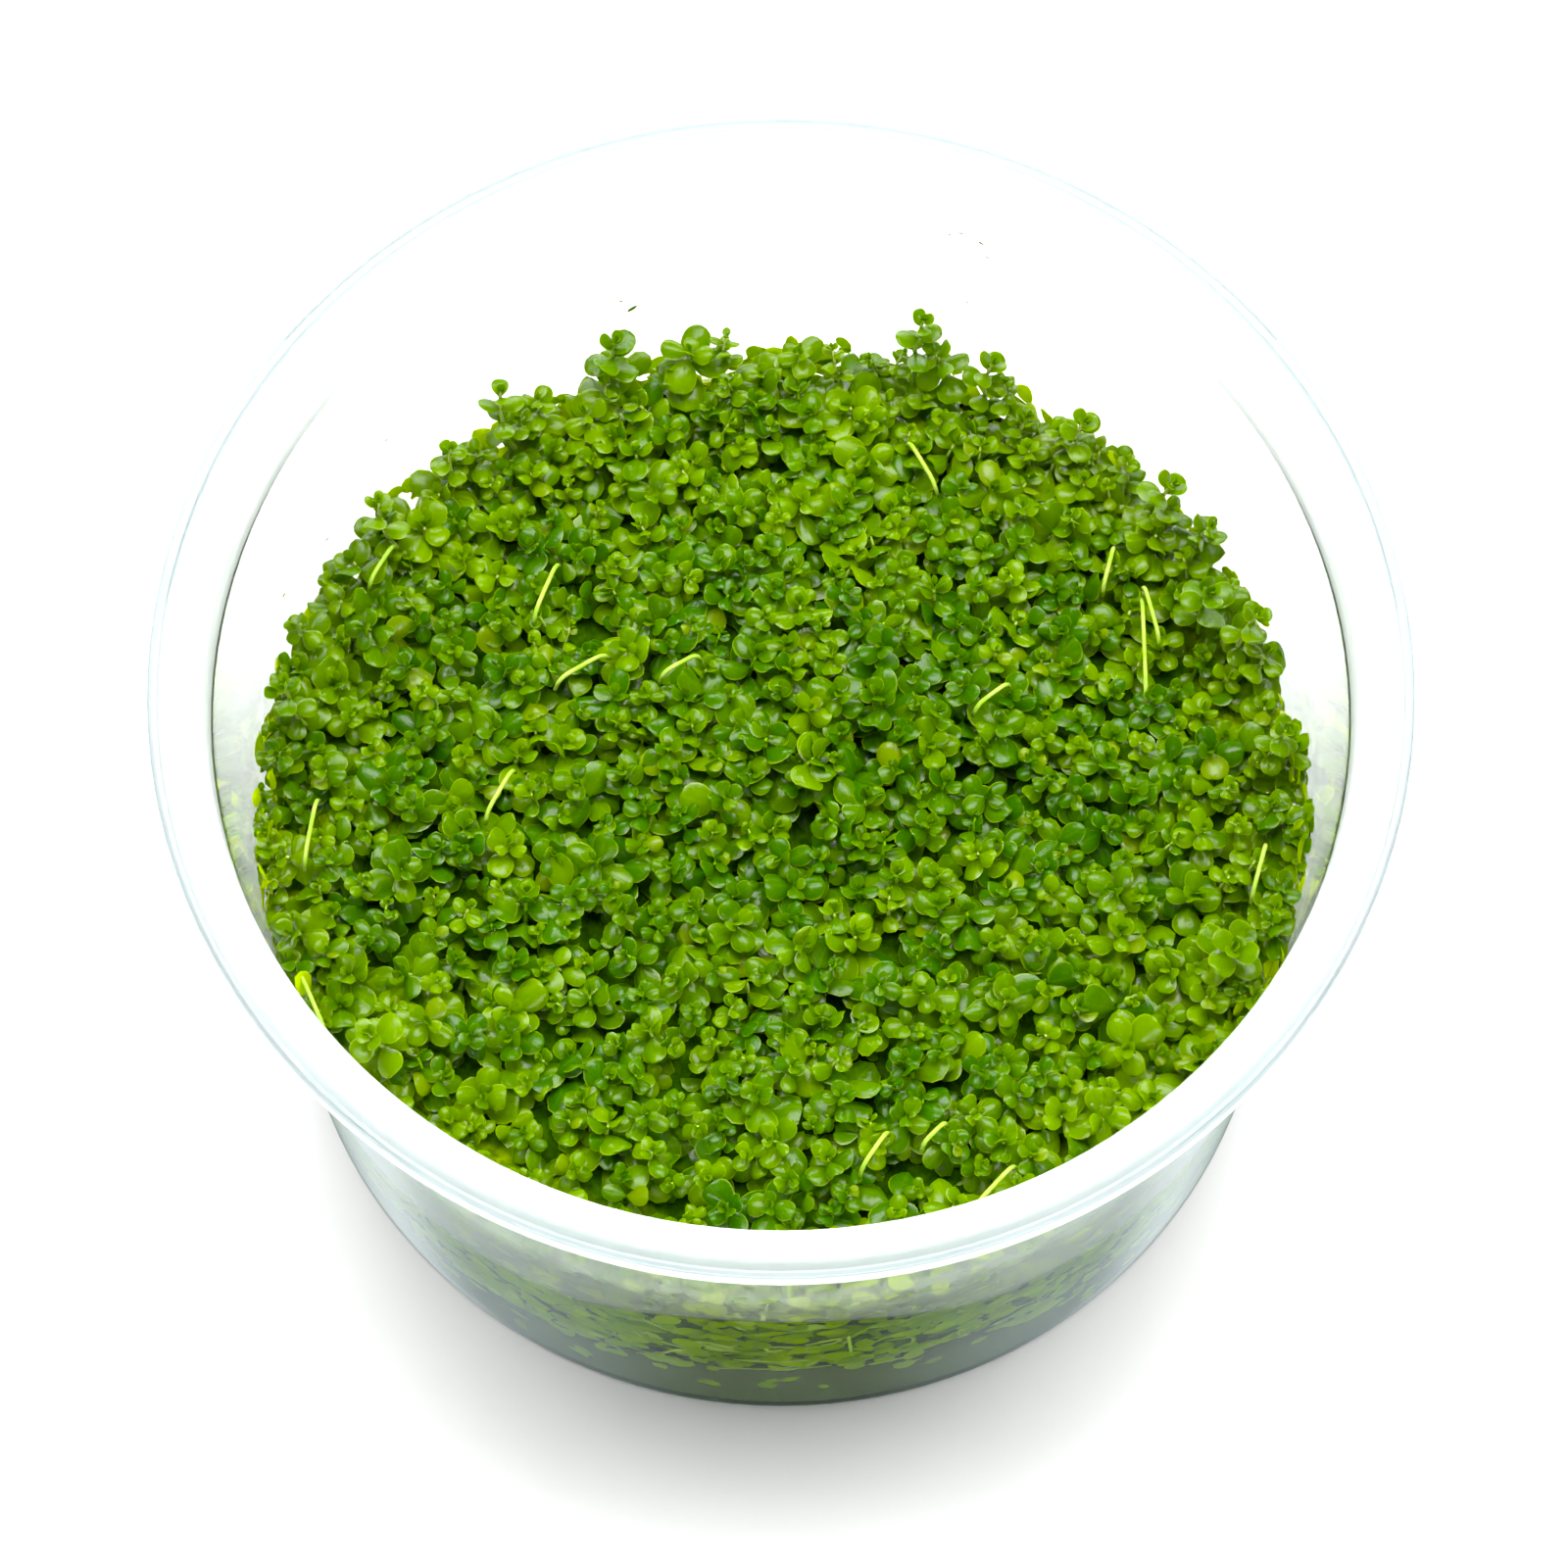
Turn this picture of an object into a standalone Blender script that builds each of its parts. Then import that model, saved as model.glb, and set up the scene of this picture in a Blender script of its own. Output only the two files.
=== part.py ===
"""Dwarf baby tears on nutrient gel in a round clear culture cup, lid off.

Metres, +Z up. The origin is the centre of the cup's flat underside.
"""

import math

import bmesh
import bpy
import numpy as np
from mathutils import Matrix, Vector, geometry

MM = 0.001
GAP = 0.3 * MM

# Cup: one thin moulding with a drafted wall and a stepped rim that once took a lid
CUP_HEIGHT = 60.0 * MM
FLANGE_RADIUS = 50.0 * MM
BASE_RADIUS = 42.2 * MM
BASE_THICKNESS = 0.9 * MM
BASE_CORNER = 0.8 * MM
FLOOR_CORNER = 1.5 * MM
WALL_THICKNESS = 0.8 * MM
WALL_TOP = 53.4 * MM
WALL_TOP_RADIUS = 46.1 * MM
SEAT_RADIUS = 45.55 * MM
SEAT_BOTTOM = 54.6 * MM
SEAT_TOP = 56.7 * MM
CREST_RADIUS = 46.9 * MM
CREST_BEAD = 0.42 * MM
CREST_FILLET = 0.15 * MM
LEDGE_HEIGHT = 58.9 * MM
LEDGE_THICKNESS = 0.85 * MM
LEDGE_BEND = 0.8 * MM
LIP_THICKNESS = 0.75 * MM
LIP_BOTTOM = 57.0 * MM
CUP_SEGMENTS = 48

# Layers inside the cup: the gel is cast in its floor, and lines the wall round the stems and
# buried leaves up to its wet line
GEL_TOP = 13.0 * MM
GEL_LINING = 1.2 * MM
WET_LINE = 31.0 * MM
MENISCUS = 0.5 * MM
STEM_TOP = 26.7 * MM
LEAF_LEVEL = 35.4 * MM
LEAF_DOME = 1.3 * MM
LAYER_SEGMENTS = 48
STEM_RINGS = 4

# Swells of the leafy surface: turns per metre along X and Y, and phase
SWELL_WAVES = ((150.0, 0.0, 1.0), (-95.0, 170.0, 0.0), (60.0, 210.0, 0.0))
SWELL_HEIGHT = 0.35 * MM

# Dents of the layers against the wall: lobes round the cup, and how fast they slant with height
DENT_WAVES = ((17, 900.0), (29, -1300.0))
STEM_DENTS = 0.7 * MM
LEAF_DENTS = 0.6 * MM

# Edge of the leafy surface, where it meets the wall or, at the back, stands off from it
SHOULDER_HEIGHT = 33.4 * MM
SHOULDER_DROP = 1.4 * MM
SHOULDER_WAVE = 0.9 * MM
SHOULDER_LOBES = 12
SHOULDER_CLEARANCE = 0.3 * MM
BACK_SETBACK = 2.0 * MM

# Shoot tips on a sunflower spiral, each a bud ringed by four leaves with notches between them
SHOOT_COUNT = 240
SHOOT_SEED = 5
SHOOT_SHIFT = 0.5 * MM
SHOOT_RISE = 0.5 * MM
LEAVES_PER_TIP = 4
LEAF_SPREAD = 2.3 * MM
LEAF_SPREAD_RANGE = (0.85, 1.1)
LEAF_DROOP = 0.3 * MM
LEAF_DROOP_RANGE = (-0.6, 2.2)
LEAF_TURN = 0.15
NOTCH_SPREAD = 1.3 * MM
NOTCH_DEPTH = 2.2 * MM
NOTCH_DEPTH_RANGE = (0.8, 1.2)
GOLDEN_ANGLE = math.pi * (3.0 - math.sqrt(5.0))

# Tall shoots: azimuth in degrees from +X, then radius and height of the tip, lean of the
# foot towards the centre, length of the largest leaf in mm, and turn of the first leaf pair
TALL_SHOOTS = (
    (73.0, 40.8, 43.6, 1.2, 2.3, 20.0),
    (110.0, 40.7, 41.0, 1.0, 2.6, 70.0),
    (125.0, 40.9, 41.6, 1.6, 2.3, 10.0),
    (133.5, 40.2, 39.4, 0.8, 2.0, 50.0),
    (145.0, 40.8, 41.4, 1.4, 2.2, 80.0),
    (64.0, 40.6, 40.8, 0.6, 2.2, 60.0),
    (51.0, 40.4, 40.0, 1.0, 2.2, 35.0),
    (37.5, 41.0, 41.4, 1.8, 2.5, 45.0),
    (18.0, 41.2, 42.2, 1.6, 2.2, 90.0),
    (23.5, 38.6, 40.8, 0.5, 2.7, 15.0),
    (170.5, 41.2, 41.8, 1.2, 2.0, 88.0),
    (3.5, 41.4, 41.8, 1.3, 2.1, 85.0),
    (-145.0, 40.4, 39.8, 1.8, 2.7, 30.0),
    (-23.0, 39.8, 39.6, 1.0, 3.1, 55.0),
)
STEM_WIDTH = 0.55 * MM
STEM_TAPER = 0.35
STEM_BOW = 0.5 * MM
SEAT_SINK = 1.2 * MM
SEAT_PATCH = 0.8 * MM
SEAT_CORNERS = 5
SEAT_CLEARING = 2.2 * MM

# Leaf pairs up a tall shoot: place on the stem, size, and rise for each unit outward
PAIR_PLACES = (0.50, 0.76, 0.97)
PAIR_SCALES = (1.0, 0.92, 0.6)
PAIR_RISES = (0.30, 0.55, 1.0)

# Widest section and tip of a leaf, as shares of its length: place, half width, half thickness
LEAF_SECTIONS = ((0.58, 0.40, 0.13), (1.0, 0.17, 0.08))

# Colour, roughness, metallic and transmission of each material
FINISHES = {
    "cup_plastic": ((0.93, 0.96, 0.97), 0.18, 0.0, 0.9),
    "gel": ((0.62, 0.74, 0.70), 0.12, 0.0, 0.8),
    "stems": ((0.30, 0.38, 0.07), 0.55, 0.0, 0.0),
    "leaves": ((0.13, 0.36, 0.02), 0.38, 0.0, 0.0),
}
SHARP_EDGE_DEG = 35


def clear_scene():
    """Start from nothing but this object."""
    for thing in list(bpy.data.objects):
        bpy.data.objects.remove(thing, do_unlink=True)


def make_material(name):
    """A Principled material with the named finish."""
    colour, roughness, metallic, transmission = FINISHES[name]
    material = bpy.data.materials.new(name)
    material.use_nodes = True
    shader = material.node_tree.nodes["Principled BSDF"]
    shader.inputs["Base Color"].default_value = (*colour, 1.0)
    shader.inputs["Roughness"].default_value = roughness
    shader.inputs["Metallic"].default_value = metallic
    shader.inputs["Transmission Weight"].default_value = transmission
    return material


def add_object(name, bm, material, location=(0.0, 0.0, 0.0), smooth=False):
    """Finish a bmesh as a named object, smooth-shaded up to its sharp edges if it is round."""
    bmesh.ops.recalc_face_normals(bm, faces=bm.faces)
    mesh = bpy.data.meshes.new(name)
    bm.to_mesh(mesh)
    bm.free()
    if smooth:
        mesh.shade_smooth()
        mesh.set_sharp_from_angle(angle=math.radians(SHARP_EDGE_DEG))
    mesh.materials.append(material)
    made = bpy.data.objects.new(name, mesh)
    made.location = location
    bpy.context.scene.collection.objects.link(made)
    return made


# Walls that the pieces share

def outer_wall(height):
    """Outer radius of the cup's drafted wall at a height."""
    return BASE_RADIUS + (WALL_TOP_RADIUS - BASE_RADIUS) * height / WALL_TOP


def inner_wall(height):
    """Inner radius of the cup's drafted wall at a height."""
    return outer_wall(height) - WALL_THICKNESS


def lined_wall(height):
    """Inner radius of the gel that lines the cup below the wet line."""
    return inner_wall(height) - GAP - GEL_LINING


# Turned pieces

def arc(centre, radius, start_deg, end_deg, steps):
    """Points (radius, height) along an arc, both ends included."""
    angles = np.radians(np.linspace(start_deg, end_deg, steps + 1))
    return [(centre[0] + radius * math.cos(a), centre[1] + radius * math.sin(a)) for a in angles]


def turned(profile, segments):
    """Spin an open profile, whose ends lie on the axis, into a closed body."""
    bm = bmesh.new()
    points = [bm.verts.new((radius, 0.0, height)) for radius, height in profile]
    edges = [bm.edges.new(pair) for pair in zip(points, points[1:])]
    bmesh.ops.spin(
        bm,
        geom=points + edges,
        axis=(0.0, 0.0, 1.0),
        cent=(0.0, 0.0, 0.0),
        angle=math.tau,
        steps=segments,
        use_merge=True,
    )
    bmesh.ops.remove_doubles(bm, verts=bm.verts, dist=1e-6)
    return bm


def cup_outside():
    """Section of the cup from the underside's centre to the lip's outer bottom edge."""
    corner_centre = (outer_wall(BASE_CORNER) - BASE_CORNER, BASE_CORNER)
    ledge_under = LEDGE_HEIGHT - LEDGE_THICKNESS
    lip_inner = FLANGE_RADIUS - LIP_THICKNESS
    return [
        (0.0, 0.0),
        *arc(corner_centre, BASE_CORNER, -90, 0, 2),
        (WALL_TOP_RADIUS, WALL_TOP),
        (SEAT_RADIUS + WALL_THICKNESS, ledge_under),
        (lip_inner, ledge_under),
        (lip_inner, LIP_BOTTOM),
        (FLANGE_RADIUS, LIP_BOTTOM),
    ]


def cup_rim():
    """Section over the rim: the ledge's outer bend, the ledge and the crest bead."""
    bend_centre = (FLANGE_RADIUS - LEDGE_BEND, LEDGE_HEIGHT - LEDGE_BEND)
    bead_centre = (CREST_RADIUS, CUP_HEIGHT - CREST_BEAD)
    return [
        *arc(bend_centre, LEDGE_BEND, 0, 90, 2),
        (CREST_RADIUS + CREST_BEAD + CREST_FILLET, LEDGE_HEIGHT),
        *arc(bead_centre, CREST_BEAD, 0, 180, 4),
    ]


def cup_inside():
    """Section down the inside: the slope under the crest, the lid's seat, wall and floor."""
    corner_height = BASE_THICKNESS + FLOOR_CORNER
    corner_centre = (inner_wall(corner_height) - FLOOR_CORNER, corner_height)
    return [
        (SEAT_RADIUS, SEAT_TOP),
        (SEAT_RADIUS, SEAT_BOTTOM),
        (inner_wall(WALL_TOP), WALL_TOP),
        *arc(corner_centre, FLOOR_CORNER, 0, -90, 2),
        (0.0, BASE_THICKNESS),
    ]


def make_cup():
    """The open cup."""
    profile = cup_outside() + cup_rim() + cup_inside()
    bm = turned(profile, CUP_SEGMENTS)
    add_object("culture_cup", bm, make_material("cup_plastic"), smooth=True)


def make_gel():
    """The clear gel, a dish: flat on top in the middle, with a lining up to the wet line."""
    bottom = BASE_THICKNESS + GAP
    corner_height = bottom + FLOOR_CORNER
    corner_centre = (inner_wall(corner_height) - GAP - FLOOR_CORNER, corner_height)
    profile = [
        (0.0, bottom),
        *arc(corner_centre, FLOOR_CORNER, -90, 0, 1),
        (inner_wall(WET_LINE) - GAP, WET_LINE),
        (lined_wall(WET_LINE), WET_LINE - MENISCUS),
        (lined_wall(GEL_TOP), GEL_TOP),
        (0.0, GEL_TOP),
    ]
    bm = turned(profile, CUP_SEGMENTS)
    add_object("nutrient_gel", bm, make_material("gel"), smooth=True)


# Layers of plants

RING_ANGLES = math.tau * np.arange(LAYER_SEGMENTS) / LAYER_SEGMENTS


def add_ring(bm, radii, heights):
    """A closed ring of vertices, with a radius and a height for each ring angle."""
    ring = []
    for angle, radius, height in zip(RING_ANGLES, radii, heights):
        ring.append(bm.verts.new((radius * math.cos(angle), radius * math.sin(angle), height)))
    return ring


def dented_ring(bm, wall_radius, height, depth):
    """A level ring at a gap from a wall, dented by up to the given depth."""
    waves = [np.sin(lobes * RING_ANGLES + slant * height) for lobes, slant in DENT_WAVES]
    dents = depth * (0.5 + 0.25 * sum(waves))
    return add_ring(bm, wall_radius - GAP - dents, np.full(LAYER_SEGMENTS, height))


def bridge(bm, lower, upper):
    """Quads between two rings of the same count."""
    count = len(lower)
    for i in range(count):
        j = (i + 1) % count
        bm.faces.new((lower[i], lower[j], upper[j], upper[i]))


def cap(bm, ring, height):
    """A fan from a ring to one vertex on the axis."""
    centre = bm.verts.new((0.0, 0.0, height))
    count = len(ring)
    for i in range(count):
        bm.faces.new((ring[i], ring[(i + 1) % count], centre))


def make_stem_mat():
    """The tangle of creeping stems and buried leaves, in the gel's dish."""
    bm = bmesh.new()
    bottom = GEL_TOP + GAP
    heights = np.linspace(bottom, STEM_TOP, STEM_RINGS)
    rings = [dented_ring(bm, lined_wall(height), height, STEM_DENTS) for height in heights]
    for lower, upper in zip(rings, rings[1:]):
        bridge(bm, lower, upper)
    cap(bm, rings[0], bottom)
    cap(bm, rings[-1], STEM_TOP)
    add_object("stem_mat", bm, make_material("stems"))


def relief(x, y):
    """Height of the leafy surface: a low dome with soft swells."""
    centre_share = 1.0 - (x * x + y * y) / inner_wall(LEAF_LEVEL) ** 2
    swell = sum(np.sin(along_x * x + along_y * y + phase) for along_x, along_y, phase in SWELL_WAVES)
    return LEAF_LEVEL + LEAF_DOME * centre_share + SWELL_HEIGHT * swell


def polar(angle, radius):
    """A place in plan."""
    return Vector((radius * math.cos(angle), radius * math.sin(angle)))


def tall_seats():
    """Where the tall shoots' feet stand in plan."""
    return [
        polar(math.radians(azimuth), (radius - lean) * MM)
        for azimuth, radius, _, lean, _, _ in TALL_SHOOTS
    ]


def edge_reach(angle):
    """Radius of the leafy surface's edge at an angle round the cup."""
    setback = BACK_SETBACK * np.maximum(np.sin(angle), 0.0) ** 2
    return inner_wall(SHOULDER_HEIGHT) - GAP - setback


def shoot_tips(rng):
    """Places of the ordinary shoot tips in plan, clear of the tall shoots' feet."""
    seats = tall_seats()
    tips = []
    for k in range(SHOOT_COUNT):
        angle = k * GOLDEN_ANGLE
        reach = edge_reach(angle) - 0.5 * LEAF_SPREAD
        place = polar(angle, reach * math.sqrt((k + 0.5) / SHOOT_COUNT))
        place += Vector(rng.uniform(-SHOOT_SHIFT, SHOOT_SHIFT, 2))
        if all((place - seat).length > SEAT_CLEARING for seat in seats):
            tips.append(place)
    return tips


def tip_points(place, rng):
    """A bud with four raised leaf ends and four notches between them."""
    height = relief(*place) + rng.uniform(-SHOOT_RISE, SHOOT_RISE)
    first_turn = rng.uniform(0.0, math.tau)
    points = [(*place, height)]
    for leaf in range(LEAVES_PER_TIP):
        turn = first_turn + math.tau * leaf / LEAVES_PER_TIP + rng.uniform(-LEAF_TURN, LEAF_TURN)
        end = place + polar(turn, LEAF_SPREAD * rng.uniform(*LEAF_SPREAD_RANGE))
        points.append((*end, height - LEAF_DROOP * rng.uniform(*LEAF_DROOP_RANGE)))
        notch = place + polar(turn + math.pi / LEAVES_PER_TIP, NOTCH_SPREAD)
        points.append((*notch, height - NOTCH_DEPTH * rng.uniform(*NOTCH_DEPTH_RANGE)))
    return points


def seat_height(seat):
    """Top of the flat patch that a tall shoot stands on."""
    return relief(*seat) - SEAT_SINK - GAP


def seat_points(seat):
    """A flat patch: its centre and the corners round it."""
    height = seat_height(seat)
    corners = [seat + polar(math.tau * k / SEAT_CORNERS, SEAT_PATCH) for k in range(SEAT_CORNERS)]
    return [(*place, height) for place in (seat, *corners)]


def add_cushion_sides(bm):
    """The underside, the narrow foot in the gel's lining, and the flank on the wall above it."""
    bottom = STEM_TOP + GAP
    ledge = WET_LINE + GAP
    foot = dented_ring(bm, lined_wall(bottom), bottom, LEAF_DENTS)
    waist = dented_ring(bm, lined_wall(ledge), ledge, LEAF_DENTS)
    flank = dented_ring(bm, inner_wall(ledge), ledge, LEAF_DENTS)
    radii = edge_reach(RING_ANGLES)
    level = relief(radii * np.cos(RING_ANGLES), radii * np.sin(RING_ANGLES))
    wave = SHOULDER_WAVE * np.sin(SHOULDER_LOBES * RING_ANGLES)
    shoulder = add_ring(bm, radii, level - SHOULDER_DROP + wave)
    cap(bm, foot, bottom)
    bridge(bm, foot, waist)
    bridge(bm, waist, flank)
    bridge(bm, flank, shoulder)
    return shoulder


def inside_edge(point):
    """Whether a point lies clear of the shoulder ring's chords, inside them."""
    x, y, _ = point
    edge_middle = edge_reach(math.atan2(y, x)) * math.cos(math.pi / LAYER_SEGMENTS)
    return math.hypot(x, y) < edge_middle - SHOULDER_CLEARANCE


def make_leaf_cushion():
    """The dense leafy mass: a wall-hugging plug with a surface of leaf rosettes."""
    rng = np.random.default_rng(SHOOT_SEED)
    bm = bmesh.new()
    shoulder = add_cushion_sides(bm)
    points = []
    for place in shoot_tips(rng):
        points.extend(tip_points(place, rng))
    for seat in tall_seats():
        points.extend(seat_points(seat))
    inner = [bm.verts.new(point) for point in points if inside_edge(point)]
    top = shoulder + inner
    plan = [Vector(vert.co.xy) for vert in top]
    _, _, triangles, sources, _, _ = geometry.delaunay_2d_cdt(plan, [], [], 0, 1e-9)
    for triangle in triangles:
        bm.faces.new([top[sources[corner][0]] for corner in triangle])
    add_object("leaf_cushion", bm, make_material("leaves"))


# Tall shoots

def section(bm, frame, width, depth):
    """Four vertices, a flat diamond across a frame whose Z runs along the limb."""
    corners = ((width, 0.0), (0.0, depth), (-width, 0.0), (0.0, -depth))
    return [bm.verts.new(frame @ Vector((x, y, 0.0))) for x, y in corners]


def limb_frame(origin, along, across):
    """A frame at origin with Z along the limb and X near the given crosswise direction."""
    z = along.normalized()
    y = z.cross(across).normalized()
    x = y.cross(z)
    return Matrix.Translation(origin) @ Matrix((x, y, z)).transposed().to_4x4()


def best_shift(first, second):
    """The start in the second ring of four that lines it up best with the first."""
    first_centre = sum((vert.co for vert in first), Vector()) / 4
    second_centre = sum((vert.co for vert in second), Vector()) / 4
    first_ways = [(vert.co - first_centre).normalized() for vert in first]
    second_ways = [(vert.co - second_centre).normalized() for vert in second]

    def mismatch(shift):
        return sum((first_ways[i] - second_ways[(i + shift) % 4]).length for i in range(4))

    return min(range(4), key=mismatch)


def grow_leaf(bm, face, outward, length, rise):
    """Draw a face of the stem out into a petiole and a flat pointed blade."""
    along = (outward + Vector((0.0, 0.0, rise))).normalized()
    across = along.cross(Vector((0.0, 0.0, 1.0))).normalized()
    start = face.calc_center_median()
    previous = list(face.verts)
    bm.faces.remove(face)
    for share, half_width, half_depth in LEAF_SECTIONS:
        frame = limb_frame(start + along * length * share, along, across)
        ring = section(bm, frame, half_width * length, half_depth * length)
        shift = best_shift(previous, ring)
        ring = ring[shift:] + ring[:shift]
        bridge(bm, previous, ring)
        previous = ring
    bm.faces.new(previous)


def grow_stem(bm, stations, turn):
    """A square stem through (centre, half width) stations; the four sides of each stretch."""
    sides = [polar(turn + math.pi / 4 + math.pi / 2 * k, math.sqrt(2.0)).to_3d() for k in range(4)]
    rings = [[bm.verts.new(centre + half * side) for side in sides] for centre, half in stations]
    stretches = []
    for lower, upper in zip(rings, rings[1:]):
        corners = [(lower[i], lower[(i + 1) % 4], upper[(i + 1) % 4], upper[i]) for i in range(4)]
        stretches.append([bm.faces.new(quad) for quad in corners])
    bm.faces.new(rings[0][::-1])
    bm.faces.new(rings[-1])
    return stretches


def make_tall_shoot(number, shoot, material):
    """One shoot that stands proud of the cushion: a square stem with crosswise leaf pairs."""
    azimuth, radius, height, lean, leaf, turn = shoot
    angle = math.radians(azimuth)
    seat = polar(angle, (radius - lean) * MM)
    foot = Vector((*seat, seat_height(seat) + GAP))
    tip = Vector((*polar(angle, radius * MM), height * MM))
    bow = polar(angle + math.pi / 2, STEM_BOW).to_3d()

    def on_stem(share):
        return (tip - foot) * share + bow * (4.0 * share * (1.0 - share))

    half_face = 0.5 * STEM_WIDTH / (tip - foot).length
    shares = [0.0]
    for place in PAIR_PLACES:
        shares += [place - half_face, place + half_face]
    stations = [(on_stem(share), 0.5 * STEM_WIDTH * (1.0 - STEM_TAPER * share)) for share in shares]

    bm = bmesh.new()
    stretches = grow_stem(bm, stations, math.radians(turn))
    for pair, (place, scale, rise) in enumerate(zip(PAIR_PLACES, PAIR_SCALES, PAIR_RISES)):
        faces = stretches[2 * pair + 1]
        for face in (faces[pair % 2], faces[pair % 2 + 2]):
            outward = face.calc_center_median() - on_stem(place)
            outward.z = 0.0
            grow_leaf(bm, face, outward.normalized(), leaf * scale * MM, rise)
    add_object(f"tall_shoot_{number:02d}", bm, material, location=foot)


def main():
    """Build every piece."""
    clear_scene()
    make_cup()
    make_gel()
    make_stem_mat()
    make_leaf_cushion()
    shoot_material = make_material("leaves")
    for number, shoot in enumerate(TALL_SHOOTS, start=1):
        make_tall_shoot(number, shoot, shoot_material)


main()
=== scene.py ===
import math

import bpy
import numpy as np
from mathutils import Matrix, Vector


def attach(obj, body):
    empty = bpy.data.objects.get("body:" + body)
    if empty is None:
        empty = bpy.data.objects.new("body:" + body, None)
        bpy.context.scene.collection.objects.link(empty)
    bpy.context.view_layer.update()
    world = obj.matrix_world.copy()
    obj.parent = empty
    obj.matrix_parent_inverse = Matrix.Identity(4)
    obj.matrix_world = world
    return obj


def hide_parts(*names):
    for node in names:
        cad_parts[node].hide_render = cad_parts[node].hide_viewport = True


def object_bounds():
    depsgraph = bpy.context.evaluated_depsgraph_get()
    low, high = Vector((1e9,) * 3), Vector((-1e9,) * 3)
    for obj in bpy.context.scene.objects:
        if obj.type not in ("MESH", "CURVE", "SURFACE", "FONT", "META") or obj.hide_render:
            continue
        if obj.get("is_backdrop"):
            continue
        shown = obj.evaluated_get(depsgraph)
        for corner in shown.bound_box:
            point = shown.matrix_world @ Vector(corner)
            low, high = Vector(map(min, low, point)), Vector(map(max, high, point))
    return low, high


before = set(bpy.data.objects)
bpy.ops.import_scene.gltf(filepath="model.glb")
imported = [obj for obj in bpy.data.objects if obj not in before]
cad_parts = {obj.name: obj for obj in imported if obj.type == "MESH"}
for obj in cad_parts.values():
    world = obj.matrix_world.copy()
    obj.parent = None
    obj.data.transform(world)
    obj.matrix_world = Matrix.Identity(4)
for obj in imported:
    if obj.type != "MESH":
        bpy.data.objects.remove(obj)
cad_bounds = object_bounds()

MM = 0.001

# Edges that turn further than this stay crisp: the margins of the leaves
SHARP_ANGLE = math.radians(95.0)

# The photograph's view
CAMERA_DISTANCE = 0.5
CAMERA_ELEVATION = math.radians(67.13)
CAMERA_AIM = (0.24 * MM, 36.47 * MM)
CAMERA_LENS = 139.64

# The cup, repeated from the CAD with its small edges rounded
CUP_HEIGHT = 60.0 * MM
FLANGE_RADIUS = 50.0 * MM
BASE_RADIUS = 42.2 * MM
BASE_THICKNESS = 0.9 * MM
BASE_CORNER = 0.8 * MM
FLOOR_CORNER = 1.5 * MM
WALL_THICKNESS = 0.8 * MM
WALL_TOP = 53.4 * MM
WALL_TOP_RADIUS = 46.1 * MM
SEAT_RADIUS = 45.55 * MM
SEAT_BOTTOM = 54.6 * MM
SEAT_TOP = 56.7 * MM
CREST_RADIUS = 46.9 * MM
CREST_BEAD = 0.42 * MM
CREST_FILLET = 0.15 * MM
LEDGE_HEIGHT = 58.9 * MM
LEDGE_THICKNESS = 0.85 * MM
LEDGE_BEND = 0.8 * MM
MILKY_RADIUS = 47.9 * MM
CLEAR_RADIUS = 49.0 * MM
MILKY_LIP = 58.6 * MM
LIP_THICKNESS = 0.75 * MM
LIP_BOTTOM = 57.0 * MM
TURN_SEGMENTS = 128

# The layers in it
GEL_TOP = 13.0 * MM
WET_LINE = 31.0 * MM
LEAF_LEVEL = 35.4 * MM
LEAF_DOME = 1.3 * MM
BACK_SETBACK = 3.0 * MM
MIST_TOP = 45.0 * MM

# Tall shoots, repeated from the CAD: azimuth in degrees from +X, then radius and height of the
# tip, lean of the foot towards the centre, length of the largest leaf in mm, and turn of the
# first leaf pair
TALL_SHOOTS = (
    (73.0, 40.8, 43.6, 1.2, 2.3, 20.0),
    (110.0, 40.7, 41.0, 1.0, 2.6, 70.0),
    (125.0, 40.9, 41.6, 1.6, 2.3, 10.0),
    (133.5, 40.2, 39.4, 0.8, 2.0, 50.0),
    (145.0, 40.8, 41.4, 1.4, 2.2, 80.0),
    (64.0, 40.6, 40.8, 0.6, 2.2, 60.0),
    (51.0, 40.4, 40.0, 1.0, 2.2, 35.0),
    (37.5, 41.0, 41.4, 1.8, 2.5, 45.0),
    (18.0, 41.2, 42.2, 1.6, 2.2, 90.0),
    (23.5, 38.6, 40.8, 0.5, 2.7, 15.0),
    (170.5, 41.2, 41.8, 1.2, 2.0, 88.0),
    (3.5, 41.4, 41.8, 1.3, 2.1, 85.0),
    (-145.0, 40.4, 39.8, 1.8, 2.7, 30.0),
    (-23.0, 39.8, 39.6, 1.0, 3.1, 55.0),
)

# Bare stems lying on the leaves, from and to, x and y in mm
STRAY_STEMS = (
    (30.1, 15.9, 30.2, 9.5), (30.4, 17.5, 31.3, 13.9), (-18.0, 9.3, -15.0, 11.1),
    (-9.5, 9.5, -7.2, 10.8), (15.9, -36.0, 18.3, -33.4), (6.7, -33.2, 8.3, -30.9),
    (11.6, -31.3, 13.0, -29.9), (38.6, -9.3, 39.5, -6.1), (-20.3, 15.7, -18.9, 19.5),
    (-38.8, -6.3, -38.2, -2.0), (-23.9, -2.4, -22.3, 0.7), (16.4, 6.8, 18.5, 8.6),
    (27.0, 18.4, 27.7, 21.1), (11.0, 30.6, 12.7, 27.4), (-32.5, 21.1, -34.0, 18.4),
    (-38.7, -17.5, -37.0, -21.3),
)

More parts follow.
